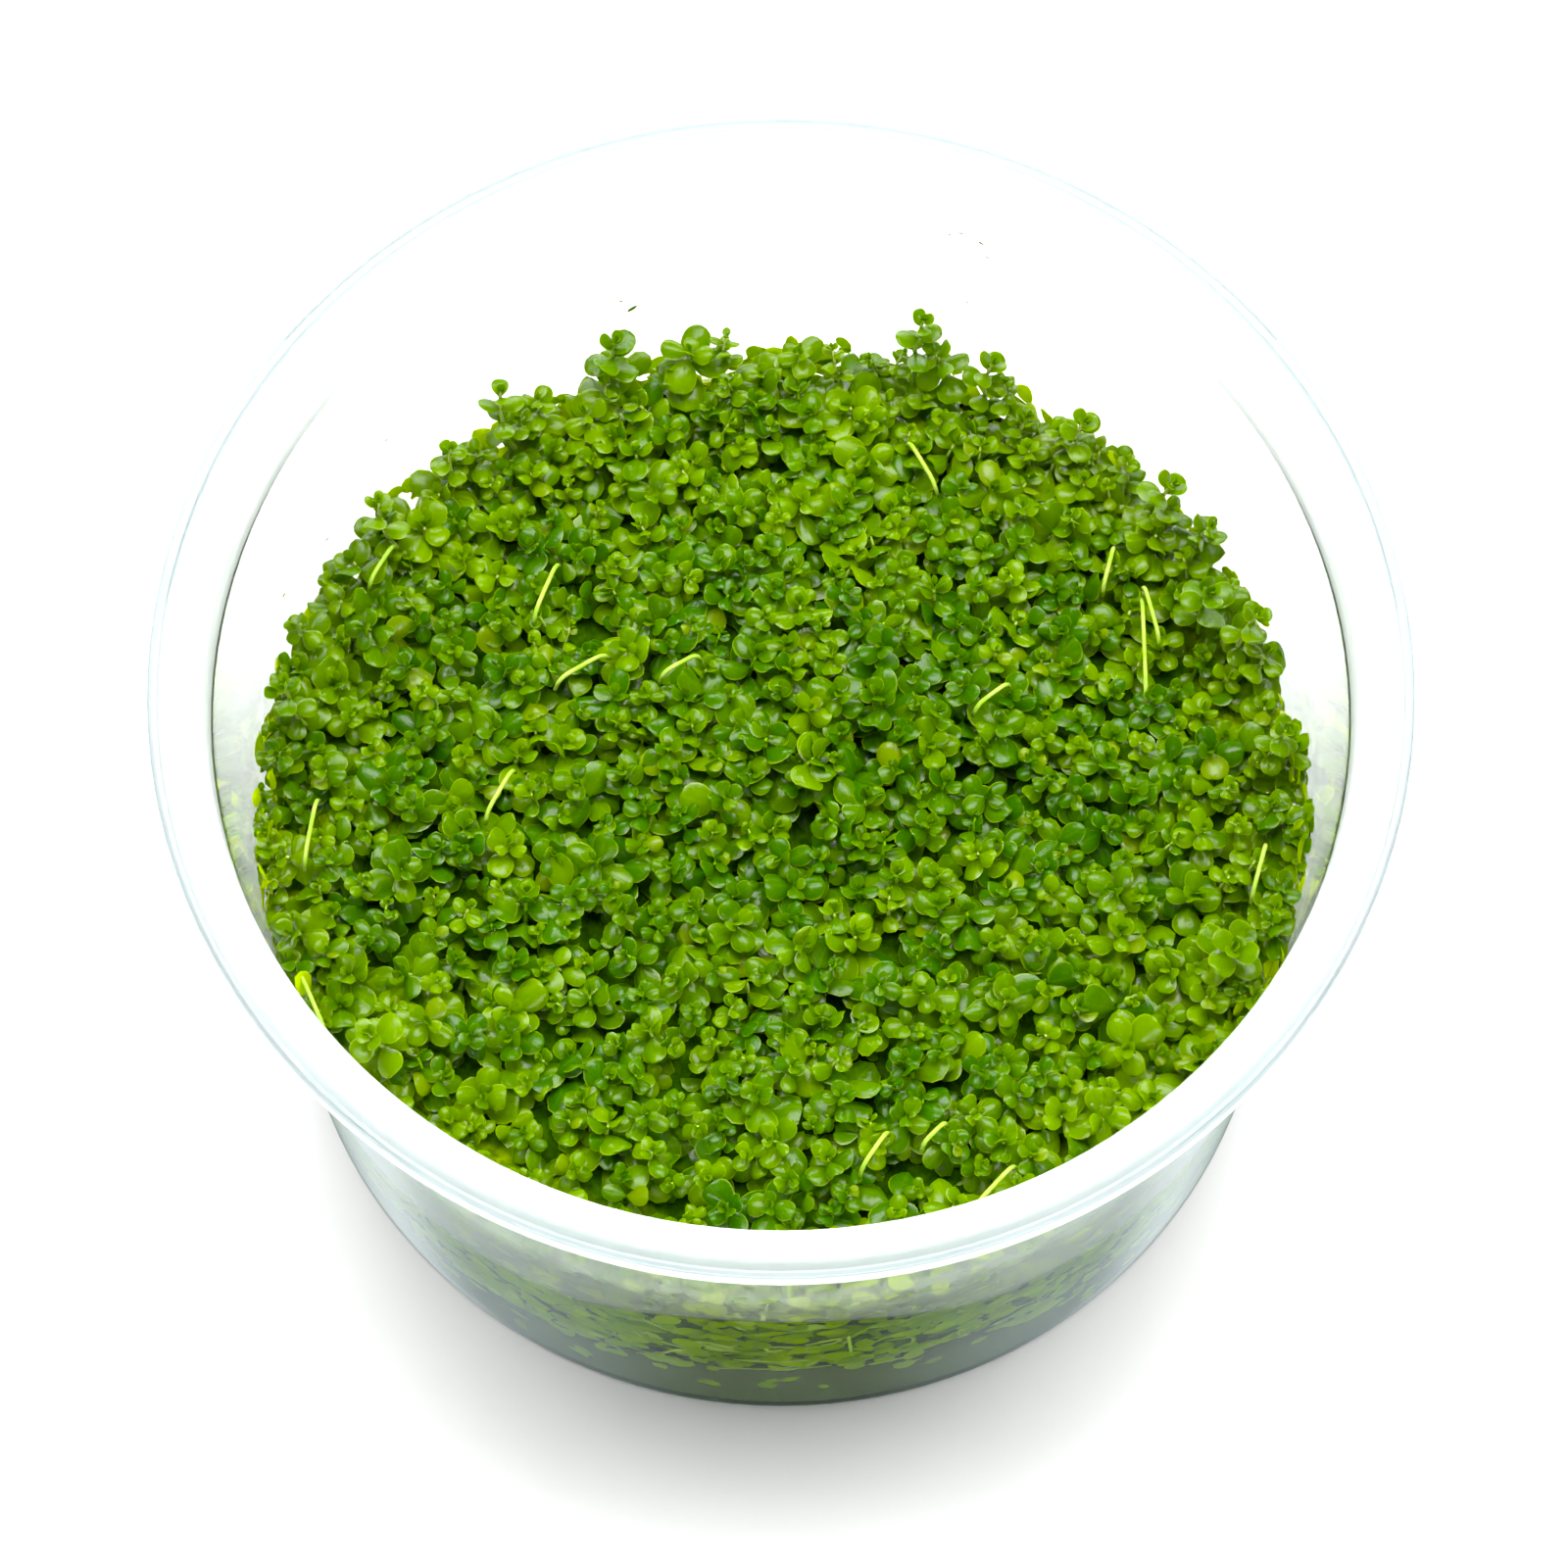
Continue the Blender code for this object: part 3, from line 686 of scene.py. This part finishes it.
def follow_wet_line(radii, heights, angle):
    """Slide rings on the inside up or down the wall, so the one at WET_LINE lies on the line."""
    share = np.interp(heights, (GEL_TOP + 1.0 * MM, WET_LINE, MIST_TOP), (0.0, 1.0, 0.0))
    inside = radii < outer_wall(heights) - 0.5 * WALL_THICKNESS
    moved = heights + np.where(inside, share * (wet_line(angle) - WET_LINE), 0.0)
    return radii + inner_wall(moved) - inner_wall(heights), moved


def turned(profile, marks, slots, segments=TURN_SEGMENTS):
    """A closed body from an open profile whose ends lie on the axis.

    marks has a row for each point, and slots a material number for each run between points.
    """
    profile = np.array(profile)
    rings = profile[1:-1]
    angle = math.tau * np.arange(segments) / segments
    radii, heights = follow_wet_line(
        np.repeat(rings[:, :1], segments, axis=1), np.repeat(rings[:, 1:], segments, axis=1), angle
    )
    grid = np.stack((radii * np.cos(angle), radii * np.sin(angle), heights), axis=-1)
    ends = np.array(((0.0, 0.0, profile[0, 1]), (0.0, 0.0, profile[-1, 1])))
    points = np.concatenate((grid.reshape(-1, 3), ends))
    faces = []
    for k in range(len(rings) - 1):
        for i in range(segments):
            j = (i + 1) % segments
            a, b = k * segments, (k + 1) * segments
            faces.append((a + i, a + j, b + j, b + i))
    first, last = len(rings) * segments, len(rings) * segments + 1
    for i in range(segments):
        j = (i + 1) % segments
        top = (len(rings) - 1) * segments
        faces.append((j, i, first))
        faces.append((top + i, top + j, last))
    marks = np.array(marks)
    spread = np.concatenate((np.repeat(marks[1:-1], segments, axis=0), marks[:1], marks[-1:]))
    face_slots = np.concatenate((
        np.repeat(slots[1:-1], segments), np.tile((slots[0], slots[-1]), segments)
    ))
    body = Body()
    body.add(points[None], faces, spread[None], face_slots)
    return body


def cup_outline():
    """Half section of the cup: underside, outside, rim and inside."""
    ledge_under = LEDGE_HEIGHT - LEDGE_THICKNESS
    lip_inner = FLANGE_RADIUS - LIP_THICKNESS
    collar = SEAT_RADIUS + WALL_THICKNESS
    fine, small = 0.25 * MM, 0.12 * MM
    outside = rounded((
        (0.0, 0.0, 0.0),
        (BASE_RADIUS, 0.0, BASE_CORNER),
        (WALL_TOP_RADIUS, WALL_TOP, fine),
        (collar, ledge_under, fine),
        (lip_inner, ledge_under, small),
        (lip_inner, LIP_BOTTOM, small),
        (FLANGE_RADIUS, LIP_BOTTOM, small),
        (FLANGE_RADIUS, LEDGE_HEIGHT, LEDGE_BEND),
        (CLEAR_RADIUS, LEDGE_HEIGHT, 0.0),
        (MILKY_RADIUS, LEDGE_HEIGHT, 0.0),
        (CREST_RADIUS + CREST_BEAD + CREST_FILLET, LEDGE_HEIGHT, small),
        (CREST_RADIUS + CREST_BEAD, CUP_HEIGHT - CREST_BEAD, 0.0),
    ))
    crest = arc((CREST_RADIUS, CUP_HEIGHT - CREST_BEAD), CREST_BEAD, 0, 180, 8)
    inside = rounded((
        (CREST_RADIUS - CREST_BEAD, CUP_HEIGHT - CREST_BEAD, 0.0),
        (SEAT_RADIUS, SEAT_TOP, 0.6 * MM),
        (SEAT_RADIUS, SEAT_BOTTOM, 0.6 * MM),
        (inner_wall(WALL_TOP), WALL_TOP, 0.6 * MM),
        (inner_wall(WET_LINE + 0.3 * MM), WET_LINE + 0.3 * MM, 0.0),
        (inner_wall(WET_LINE), WET_LINE, 0.0),
        (inner_wall(BASE_THICKNESS), BASE_THICKNESS, FLOOR_CORNER),
        (0.0, BASE_THICKNESS, 0.0),
    ))
    return outside[:-1] + crest + inside[1:]


def refined(outline, longest):
    """The outline with its long runs cut up."""
    points = [outline[0]]
    for start, end in zip(outline, outline[1:]):
        count = max(1, math.ceil(math.dist(start, end) / longest))
        for k in range(1, count + 1):
            t = k / count
            points.append(tuple((1 - t) * np.array(start) + t * np.array(end)))
    return points


def make_cup(dry, wet):
    """The cup. Marks: red is mist on the inside, green the rim (milky, or tinted with painted shade in its
    clear band), blue its lip.

    Below the wet line the inside has a material of its own, because gel lies on it, not air.
    """
    outline = refined(cup_outline(), 3.0 * MM)
    marks = []
    for radius, height in outline:
        inside = height > WET_LINE and radius < outer_wall(min(height, WALL_TOP)) - 0.5 * MM
        mist = np.clip((MIST_TOP - height) / (6.0 * MM), 0.0, 1.0) if inside else 0.0
        rim = np.clip((height - WALL_TOP + 0.3 * MM) / (0.8 * MM), 0.0, 1.0)
        inner = np.clip((CLEAR_RADIUS - radius) / (CLEAR_RADIUS - MILKY_RADIUS), 0.0, 1.0)
        lip = np.clip((MILKY_LIP - height) / (0.15 * MM), 0.0, 1.0)
        white = max(inner, lip) if height > WALL_TOP else 0.0
        marks.append((mist, rim, white, 1.0))
    slots = []
    for (radius, height), (next_radius, next_height) in zip(outline, outline[1:]):
        middle = 0.5 * (radius + next_radius), 0.5 * (height + next_height)
        under_gel = BASE_THICKNESS - 1e-6 <= middle[1] < WET_LINE
        slots.append(int(under_gel and middle[0] < outer_wall(middle[1]) - 0.5 * WALL_THICKNESS))
    return turned(outline, marks, slots).make("clear_cup", dry, wet)


def add_drops(body, rng):
    """Flat drops of water on the inside of the wall, along the wet line and above it."""
    count, rings, around = 110, 5, 8
    polar_angle = math.pi * (np.arange(rings) + 1) / (rings + 1)
    azimuth = math.tau * np.arange(around) / around
    ball = np.stack((
        np.outer(np.sin(polar_angle), np.cos(azimuth)),
        np.outer(np.sin(polar_angle), np.sin(azimuth)),
        np.outer(np.cos(polar_angle), np.ones(around)),
    ), axis=-1).reshape(-1, 3)
    ball = np.concatenate((ball, ((0.0, 0.0, 1.0), (0.0, 0.0, -1.0))))
    faces = []
    last = (rings - 1) * around
    for i in range(around):
        j = (i + 1) % around
        for k in range(rings - 1):
            a, b = k * around, (k + 1) * around
            faces.append((a + i, b + i, b + j, a + j))
        faces.append((i, j, rings * around))
        faces.append((last + j, last + i, rings * around + 1))
    turn = rng.uniform(0.0, math.tau, count)
    height = wet_line(turn) + rng.exponential(0.7, count) * MM
    size = np.stack((
        rng.uniform(0.06, 0.12, count), rng.uniform(0.15, 0.55, count), rng.uniform(0.08, 0.16, count)
    ), axis=1) * MM
    outward = np.stack((np.cos(turn), np.sin(turn), np.zeros(count)), axis=1)
    across = np.stack((-outward[:, 1], outward[:, 0], np.zeros(count)), axis=1)
    upright = np.broadcast_to((0.0, 0.0, 1.0), outward.shape)
    axes = np.stack((outward, across, upright), axis=1) * size[:, :, None]
    centre = outward * (inner_wall(height) - 0.14 * MM)[:, None] + upright * height[:, None]
    points = centre[:, None] + np.einsum("vk,ckx->cvx", ball, axes)
    body.add(points, faces, np.array((0.0, 0.0, 0.0, 1.0)))


def make_gel(surface, against_cup, rng):
    """The gel: a dish that holds the stems, wetting the wall up to the wet line."""
    bottom = BASE_THICKNESS + 0.02 * MM
    film = 0.02 * MM
    lining = 4.0 * MM
    corners = (
        (0.0, bottom, 0.0),
        (inner_wall(bottom) - film, bottom, FLOOR_CORNER),
        (inner_wall(WET_LINE) - film, WET_LINE, 0.0),
        (inner_wall(WET_LINE) - 0.35 * MM, WET_LINE - 0.6 * MM, 0.3 * MM),
        (inner_wall(WET_LINE) - lining, WET_LINE - 0.9 * MM, 0.3 * MM),
        (inner_wall(GEL_TOP) - lining, GEL_TOP, 1.0 * MM),
        (0.0, GEL_TOP, 0.0),
    )
    outline = refined(rounded(corners), 4.0 * MM)
    marks = []
    for _, height in outline:
        haze = np.clip((GEL_TOP + 3.0 * MM - height) / (4.0 * MM), 0.0, 1.0)
        marks.append((haze, 0.0, 0.0, 1.0))
    rim = max(range(len(outline)), key=lambda k: outline[k][1])
    slots = [int(k < rim) for k in range(len(outline) - 1)]
    body = turned(outline, marks, slots)
    add_drops(body, rng)
    return body.make("clear_gel", surface, against_cup)


def make_core(material):
    """The tangle of stems under the leaves, set in from the wall; its top is marked for a dark painted
    shade.
    """
    body = Body()
    around, rings = 180, 12
    turn = math.tau * np.arange(around) / around
    low, high = GEL_TOP + 0.3 * MM, 31.0 * MM
    share = np.linspace(0.0, 1.0, rings)[:, None]
    height = low + (high - low) * share
    dent = np.sin(23 * turn + 400 * height) + np.sin(41 * turn - 900 * height)
    behind = np.maximum(np.sin(turn), 0.0) ** 2
    radius = inner_wall(height) - (2.8 + (1.6 + 2.0 * behind) * share + 0.35 * dent) * MM
    ring_points = np.stack(
        (radius * np.cos(turn), radius * np.sin(turn), np.broadcast_to(height, radius.shape)), axis=-1
    )
    points = [ring_points.reshape(-1, 3)]
    faces = []
    for k in range(rings - 1):
        for i in range(around):
            j = (i + 1) % around
            faces.append((k * around + i, k * around + j, (k + 1) * around + j, (k + 1) * around + i))
    inner = 14
    start = rings * around
    top_ring = ring_points[-1]
    for k in range(1, inner):
        ring = top_ring * (1.0 - k / inner)
        ring[:, 2] = high + 0.5 * MM * np.sin(900 * ring[:, 0]) * np.sin(850 * ring[:, 1])
        points.append(ring)
    tops = [(rings - 1) * around] + [start + (k - 1) * around for k in range(1, inner)]
    for a, b in zip(tops, tops[1:]):
        for i in range(around):
            j = (i + 1) % around
            faces.append((a + i, a + j, b + j, b + i))
    points.append(np.array(((0.0, 0.0, high), (0.0, 0.0, low))))
    total = sum(len(p) for p in points)
    for i in range(around):
        j = (i + 1) % around
        faces.append((tops[-1] + i, tops[-1] + j, total - 2))
        faces.append((j, i, total - 1))
    marks = np.zeros((total, 4))
    # Side rings take the olive; the top stays at 0 and takes the painted shade.
    marks[:rings * around, 2] = 1.0
    body.add(np.concatenate(points)[None], faces, marks[None])
    return body.make("stem_tangle", material)


# Materials

class Nodes:
    """A node tree, with short calls for what the materials and the world here use."""

    def __init__(self, tree):
        self.tree = tree

    def add(self, kind, **settings):
        node = self.tree.nodes.new(kind)
        for key, value in settings.items():
            setattr(node, key, value)
        return node

    def put(self, socket, value):
        """Link an output to a socket, or set the socket's own value."""
        if isinstance(value, bpy.types.NodeSocket):
            self.tree.links.new(value, socket)
        else:
            socket.default_value = value

    def math(self, operation, a, b=0.0, clamp=False):
        node = self.add("ShaderNodeMath", operation=operation, use_clamp=clamp)
        self.put(node.inputs[0], a)
        self.put(node.inputs[1], b)
        return node.outputs[0]

    def mix(self, share, a, b):
        node = self.add("ShaderNodeMix", data_type="RGBA")
        self.put(node.inputs["Factor"], share)
        self.put(node.inputs["A"], a)
        self.put(node.inputs["B"], b)
        return node.outputs["Result"]

    def between(self, value, low, high, to_low=0.0, to_high=1.0):
        node = self.add("ShaderNodeMapRange", interpolation_type="SMOOTHSTEP")
        for socket, number in zip(node.inputs, (value, low, high, to_low, to_high)):
            self.put(socket, number)
        return node.outputs[0]

    def noise(self, scale, detail=2.0, vector=None):
        node = self.add("ShaderNodeTexNoise")
        node.inputs["Scale"].default_value = scale
        node.inputs["Detail"].default_value = detail
        self.put(node.inputs["Vector"], vector or self.place())
        return node.outputs["Fac"]

    def place(self):
        return self.add("ShaderNodeTexCoord").outputs["Object"]

    def marks(self):
        """The leaf attribute: along, across, tint and age."""
        node = self.add("ShaderNodeAttribute", attribute_name="leaf")
        parts = self.add("ShaderNodeSeparateColor")
        self.put(parts.inputs[0], node.outputs["Color"])
        return (*parts.outputs[:3], node.outputs["Alpha"])

    def bump(self, height, distance, strength=1.0):
        node = self.add("ShaderNodeBump")
        node.inputs["Strength"].default_value = strength
        node.inputs["Distance"].default_value = distance
        self.put(node.inputs["Height"], height)
        return node.outputs["Normal"]


class Surface(Nodes):
    """A new material and its nodes."""

    def __init__(self, name):
        self.material = bpy.data.materials.new(name)
        self.material.use_nodes = True
        super().__init__(self.material.node_tree)
        self.shader = self.tree.nodes["Principled BSDF"]
        self.output = self.tree.nodes["Material Output"]


def colour(r, g, b):
    return (r, g, b, 1.0)


def leaf_material(name, mature, young, pale, glow, worn, gloss):
    """A fleshy leaf: mottled green, faint rib, paler margin that is partly a painted highlight, light
    shining through.
    """
    n = Surface(name)
    along, across, tint, age = n.marks()
    offset = n.math("ABSOLUTE", n.math("SUBTRACT", across, 0.5))
    patch = n.noise(900.0)
    shade = n.math("ADD", tint, n.math("MULTIPLY", n.math("SUBTRACT", patch, 0.5), 0.5))
    base = n.mix(n.between(shade, 0.1, 1.0), mature, young)
    base = n.mix(n.between(age, 0.35, 0.0, 0.0, 0.4), base, young)
    rib = n.between(offset, 0.04, 0.0)
    slant = n.math("ADD", n.math("MULTIPLY", along, 5.0), n.math("MULTIPLY", offset, -4.0))
    vein = n.math("SINE", n.math("MULTIPLY", slant, math.tau))
    vein = n.between(vein, 0.75, 1.0)
    # The paler margin is partly the edge's own tone and partly a painted highlight for gloss catching the
    # rim.
    margin = n.between(offset, 0.44, 0.49)
    lines = n.math("ADD", n.math("MULTIPLY", rib, 0.10), n.math("MULTIPLY", vein, 0.05))
    lines = n.math("ADD", lines, n.math("MULTIPLY", margin, 0.55), clamp=True)
    base = n.mix(lines, base, pale)
    base = n.mix(n.between(tint, 1.2, WORN_TINT, 0.0, 0.6), base, worn)
    n.put(n.shader.inputs["Base Color"], base)
    grain = n.noise(4500.0, 2.0)
    n.put(n.shader.inputs["Roughness"], n.between(grain, 0.3, 0.7, 0.15, 0.28))
    relief_height = n.math("SUBTRACT", grain, n.math("MULTIPLY", rib, 0.5))
    relief_height = n.math("SUBTRACT", relief_height, n.math("MULTIPLY", vein, 0.3))
    n.put(n.shader.inputs["Normal"], n.bump(relief_height, 0.014 * MM))
    n.shader.inputs["IOR"].default_value = 1.5
    n.shader.inputs["Specular IOR Level"].default_value = gloss
    through = n.add("ShaderNodeBsdfTranslucent")
    n.put(through.inputs["Color"], n.mix(0.5, base, glow))
    both = n.add("ShaderNodeMixShader")
    both.inputs[0].default_value = 0.48
    n.put(both.inputs[1], n.shader.outputs[0])
    n.put(both.inputs[2], through.outputs[0])
    n.put(n.output.inputs["Surface"], both.outputs[0])
    return n.material


def stem_material(name, green, cream):
    """A smooth stem, green to cream, with fine lines along it."""
    n = Surface(name)
    along, _, tint, _ = n.marks()
    patch = n.noise(700.0)
    base = n.mix(n.between(n.math("ADD", tint, n.math("MULTIPLY", patch, 0.5)), 0.5, 1.3), green, cream)
    n.put(n.shader.inputs["Base Color"], base)
    n.put(n.shader.inputs["Roughness"], n.between(n.noise(3000.0), 0.3, 0.7, 0.35, 0.5))
    n.shader.inputs["Specular IOR Level"].default_value = 0.25
    n.put(n.shader.inputs["Normal"], n.bump(n.noise(4000.0), 0.03 * MM))
    return n.material


def core_material():
    """The tangle: flecked olive on its sides, with a dark painted shade on top."""
    n = Surface("stem_tangle")
    fleck = n.noise(800.0, 4.0)
    share = n.between(fleck, 0.4, 0.7)
    # Painted shade: the top is coloured dark for the shadowed gaps between the leaves.
    shaded = n.mix(share, colour(0.018, 0.05, 0.0005), colour(0.045, 0.10, 0.002))
    olive = n.mix(share, colour(0.16, 0.25, 0.006), colour(0.32, 0.43, 0.02))
    base = n.mix(n.marks()[2], shaded, olive)
    n.put(n.shader.inputs["Base Color"], base)
    n.shader.inputs["Roughness"].default_value = 0.6
    n.shader.inputs["Specular IOR Level"].default_value = 0.0
    n.put(n.shader.inputs["Normal"], n.bump(fleck, 0.6 * MM))
    return n.material


def cup_material(name, ior):
    """Clear moulded plastic, milky in the rim, misted inside above the wet line, with a painted shade in
    the rim's clear band.
    """
    n = Surface(name)
    mist, milk, white, _ = n.marks()
    cloud = n.noise(160.0, 3.0)
    base = n.mix(n.between(cloud, 0.3, 0.7), colour(0.96, 0.985, 0.97), colour(0.93, 0.97, 0.955))
    solid = n.math("MULTIPLY", milk, white)
    # Painted shade: the rim's clear band is tinted dark grey-blue.
    painted_shade_band = n.math("SUBTRACT", milk, solid)
    base = n.mix(painted_shade_band, base, colour(0.33, 0.38, 0.40))
    n.put(n.shader.inputs["Base Color"], base)
    mist = n.math("MULTIPLY", mist, n.between(n.noise(330.0, 1.0), 0.60, 0.66, 1.0, 0.25))
    fog = n.math("MULTIPLY", mist, n.between(n.noise(420.0), 0.35, 0.65, 0.08, 0.12))
    frost = n.math("MULTIPLY", solid, 0.2)
    fine = n.between(cloud, 0.3, 0.7, 0.02, 0.035)
    n.put(n.shader.inputs["Roughness"], n.math("ADD", n.math("ADD", fog, fine), frost))
    dense = n.math("MULTIPLY", solid, 0.40)
    n.put(n.shader.inputs["Transmission Weight"],
          n.math("SUBTRACT", n.math("SUBTRACT", 0.99, dense), n.math("MULTIPLY", mist, 0.06)))
    n.shader.inputs["IOR"].default_value = ior
    through = n.add("ShaderNodeBsdfTranslucent")
    n.put(through.inputs["Color"], base)
    both = n.add("ShaderNodeMixShader")
    veil = n.math("MULTIPLY", mist, n.between(n.noise(300.0, 3.0), 0.3, 0.7, 0.10, 0.18))
    white_share = n.math("MULTIPLY", solid, 0.30)
    n.put(both.inputs[0], n.math("ADD", white_share, veil))
    n.put(both.inputs[1], n.shader.outputs[0])
    n.put(both.inputs[2], through.outputs[0])
    n.put(n.output.inputs["Surface"], both.outputs[0])
    return n.material


def gel_material(name, ior):
    """Clear grey-green gel with faint clouding, thicker at the bottom."""
    n = Surface(name)
    haze = n.marks()[0]
    cloud = n.noise(120.0, 3.0)
    n.put(n.shader.inputs["Base Color"],
          n.mix(n.between(cloud, 0.3, 0.7), colour(0.72, 0.89, 0.50), colour(0.66, 0.84, 0.44)))
    n.put(n.shader.inputs["Transmission Weight"],
          n.math("SUBTRACT", 1.0, n.math("MULTIPLY", haze, 0.16)))
    n.shader.inputs["Roughness"].default_value = 0.0
    n.shader.inputs["IOR"].default_value = ior
    return n.material


def floor_material():
    """White sweep."""
    n = Surface("white_floor")
    n.put(n.shader.inputs["Base Color"],
          n.mix(n.noise(3.0), colour(0.80, 0.80, 0.805), colour(0.78, 0.78, 0.785)))
    n.shader.inputs["Roughness"].default_value = 0.9
    return n.material


# Stage

def make_floor():
    """A wide pale floor just under the cup."""
    half = 3.0
    corners = [(-half, -half, 0.0), (half, -half, 0.0), (half, half, 0.0), (-half, half, 0.0)]
    mesh = bpy.data.meshes.new("floor")
    mesh.from_pydata(corners, [], [(0, 1, 2, 3)])
    mesh.materials.append(floor_material())
    floor = bpy.data.objects.new("floor", mesh)
    floor.location.z = -0.05 * MM
    floor.visible_glossy = False
    bpy.context.scene.collection.objects.link(floor)
    floor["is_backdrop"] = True


def add_soft_light(name, size, energy, location, tilt_deg):
    """A rectangular light; a tilt of 0 shines straight down, of 90 along +Y."""
    light = bpy.data.lights.new(name, "AREA")
    light.shape = "RECTANGLE"
    light.size, light.size_y = size
    light.energy = energy
    lamp = bpy.data.objects.new(name, light)
    lamp.location = location
    lamp.rotation_euler = (math.radians(tilt_deg), 0.0, 0.0)
    bpy.context.scene.collection.objects.link(lamp)
    return lamp


def light_stage():
    """Near-white surroundings, a wide soft box above, and low lights before and behind."""
    world = bpy.data.worlds.new("studio")
    world.use_nodes = True
    n = Nodes(world.node_tree)
    direction = n.add("ShaderNodeSeparateXYZ")
    n.put(direction.inputs[0], n.add("ShaderNodeTexCoord").outputs["Generated"])
    aside = n.between(n.math("ABSOLUTE", direction.outputs["X"]), 0.05, 0.32)
    under = n.between(direction.outputs["Y"], -0.15, 0.15)
    below = n.mix(under, colour(0.25, 0.26, 0.26), colour(0.9, 1.2, 1.0))
    beside = n.mix(n.between(direction.outputs["Y"], 0.05, 0.22), colour(3.0, 3.4, 3.75),
                   colour(7.6, 8.2, 8.6))
    below = n.mix(aside, below, beside)
    above = n.math("GREATER_THAN", direction.outputs["Z"], 0.0)
    background = n.tree.nodes["Background"]
    n.put(background.inputs["Color"], n.mix(above, below, colour(0.97, 0.985, 1.0)))
    background.inputs["Strength"].default_value = 0.22
    bpy.context.scene.world = world
    wide = add_soft_light("soft_box", (1.8, 0.7), 25.0, (0.04, 0.23, 1.0), 0.0)
    wide.visible_glossy = False
    add_soft_light("key_box", (1.0, 0.5), 11.0, (0.04, 0.20, 1.02), 0.0)
    front = add_soft_light("front_fill", (1.0, 0.2), 6.5, (0.0, -0.75, 0.12), 83.0)
    back = add_soft_light("back_fill", (1.0, 0.3), 8.0, (0.0, 0.75, 0.30), -71.0)
    front.visible_camera = False
    back.visible_camera = False
    bpy.context.scene.view_settings.view_transform = "Standard"
    bpy.context.scene.cycles.max_bounces = LIGHT_BOUNCES


def grade():
    """A little more saturation, as in the photograph."""
    scene = bpy.context.scene
    scene.use_nodes = True
    tree = scene.node_tree
    tree.nodes.clear()
    layers = tree.nodes.new("CompositorNodeRLayers")
    vivid = tree.nodes.new("CompositorNodeHueSat")
    vivid.inputs["Saturation"].default_value = 1.12
    out = tree.nodes.new("CompositorNodeComposite")
    tree.links.new(layers.outputs["Image"], vivid.inputs["Image"])
    tree.links.new(vivid.outputs["Image"], out.inputs["Image"])


def place_camera():
    """The photograph's viewing angle."""
    data = bpy.data.cameras.new("camera")
    data.lens = CAMERA_LENS
    data.sensor_width = 36.0
    data.clip_start = 0.01
    camera = bpy.data.objects.new("camera", data)
    aim_x, aim_z = CAMERA_AIM
    camera.location = (
        aim_x,
        -CAMERA_DISTANCE * math.cos(CAMERA_ELEVATION),
        aim_z + CAMERA_DISTANCE * math.sin(CAMERA_ELEVATION),
    )
    camera.rotation_euler = (math.pi / 2 - CAMERA_ELEVATION, 0.0, 0.0)
    bpy.context.scene.collection.objects.link(camera)
    bpy.context.scene.camera = camera


def settle(piece, slot, *nodes):
    """A finished piece: it rides on the one body and stands for CAD nodes."""
    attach(piece, "root")
    if nodes:
        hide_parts(*nodes)


def main():
    """Everything, from the stage to the last leaf."""
    place_camera()
    light_stage()
    grade()
    make_floor()
    rng = np.random.default_rng(7)

    cup = make_cup(cup_material("clear_plastic", PLASTIC_IOR),
                   cup_material("wetted_plastic", MATCHED_IOR))
    settle(cup, "cup_plastic", "culture_cup")
    gel = make_gel(gel_material("nutrient_gel", GEL_IOR),
                   gel_material("gel_on_plastic", MATCHED_IOR), rng)
    settle(gel, "gel", "nutrient_gel")
    settle(make_core(core_material()), "stems", "stem_mat", "leaf_cushion")

    leaf = leaf_material(
        "fresh_leaf", colour(0.046, 0.155, 0.0002), colour(0.20, 0.34, 0.001),
        colour(0.46, 0.60, 0.10), colour(0.42, 0.72, 0.003), colour(0.24, 0.32, 0.04), 0.85,
    )
    stem = stem_material("stem", colour(0.18, 0.40, 0.01), colour(0.58, 0.64, 0.22))
    # The leaves and stems pressed on the wall in the gel get far lighter colours than those above: painted
    # light, standing in for light that hardly reaches them.
    olive = leaf_material(
        "buried_leaf_painted_light", colour(0.37, 0.53, 0.004), colour(0.62, 0.76, 0.016),
        colour(0.85, 0.90, 0.26), colour(0.72, 0.90, 0.01), colour(0.80, 0.84, 0.36), 0.02,
    )
    creeper = stem_material("buried_stem", colour(0.40, 0.60, 0.03), colour(0.75, 0.82, 0.25))
    clumps = [Body() for _ in range(CLUMPS)]
    grow_carpet(clumps, rng)
    for number, body in enumerate(clumps, start=1):
        settle(body.make(f"plant_clump_{number}", leaf, stem), "leaves", "leaf_cushion")

    wall = Body()
    near, deep = (0.15 * MM, 2.2 * MM), (0.3 * MM, 3.5 * MM)
    grow_wall_leaves(wall, 2150, band_foot, wet_line, near, (1.6 * MM, 3.1 * MM), rng, (0.0, 0.9))
    grow_wall_leaves(wall, 170, lambda angle: 3.5 * MM, band_foot, deep, (1.3 * MM, 2.4 * MM),
                     rng, (0.0, 0.6))
    grow_wall_leaves(wall, 1050, wet_line, lambda angle: (35.3 - 4.5 * np.maximum(np.sin(angle), 0.0)) * MM,
                     near, (1.5 * MM, 2.8 * MM), rng, (0.2, 0.9))
    grow_wall_stems(wall, 260, 12 * MM, 29 * MM, rng)
    settle(wall.make("buried_stems", olive, creeper), "stems", "stem_mat")

    settle(grow_stray_stems().make("stray_stems", leaf, stem), "leaves", "leaf_cushion")
    settle(stick_specks(rng).make("wall_specks", leaf, stem), "leaves", "culture_cup")

    for number, row in enumerate(TALL_SHOOTS, start=1):
        shoot = grow_tall_shoot(row, rng).make(f"leafy_shoot_{number:02d}", leaf, stem)
        settle(shoot, "leaves", f"tall_shoot_{number:02d}")


main()
sizes = {"cad": cad_bounds, "visual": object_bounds()}
sizes = {key: [list(corner) for corner in box] for key, box in sizes.items()}
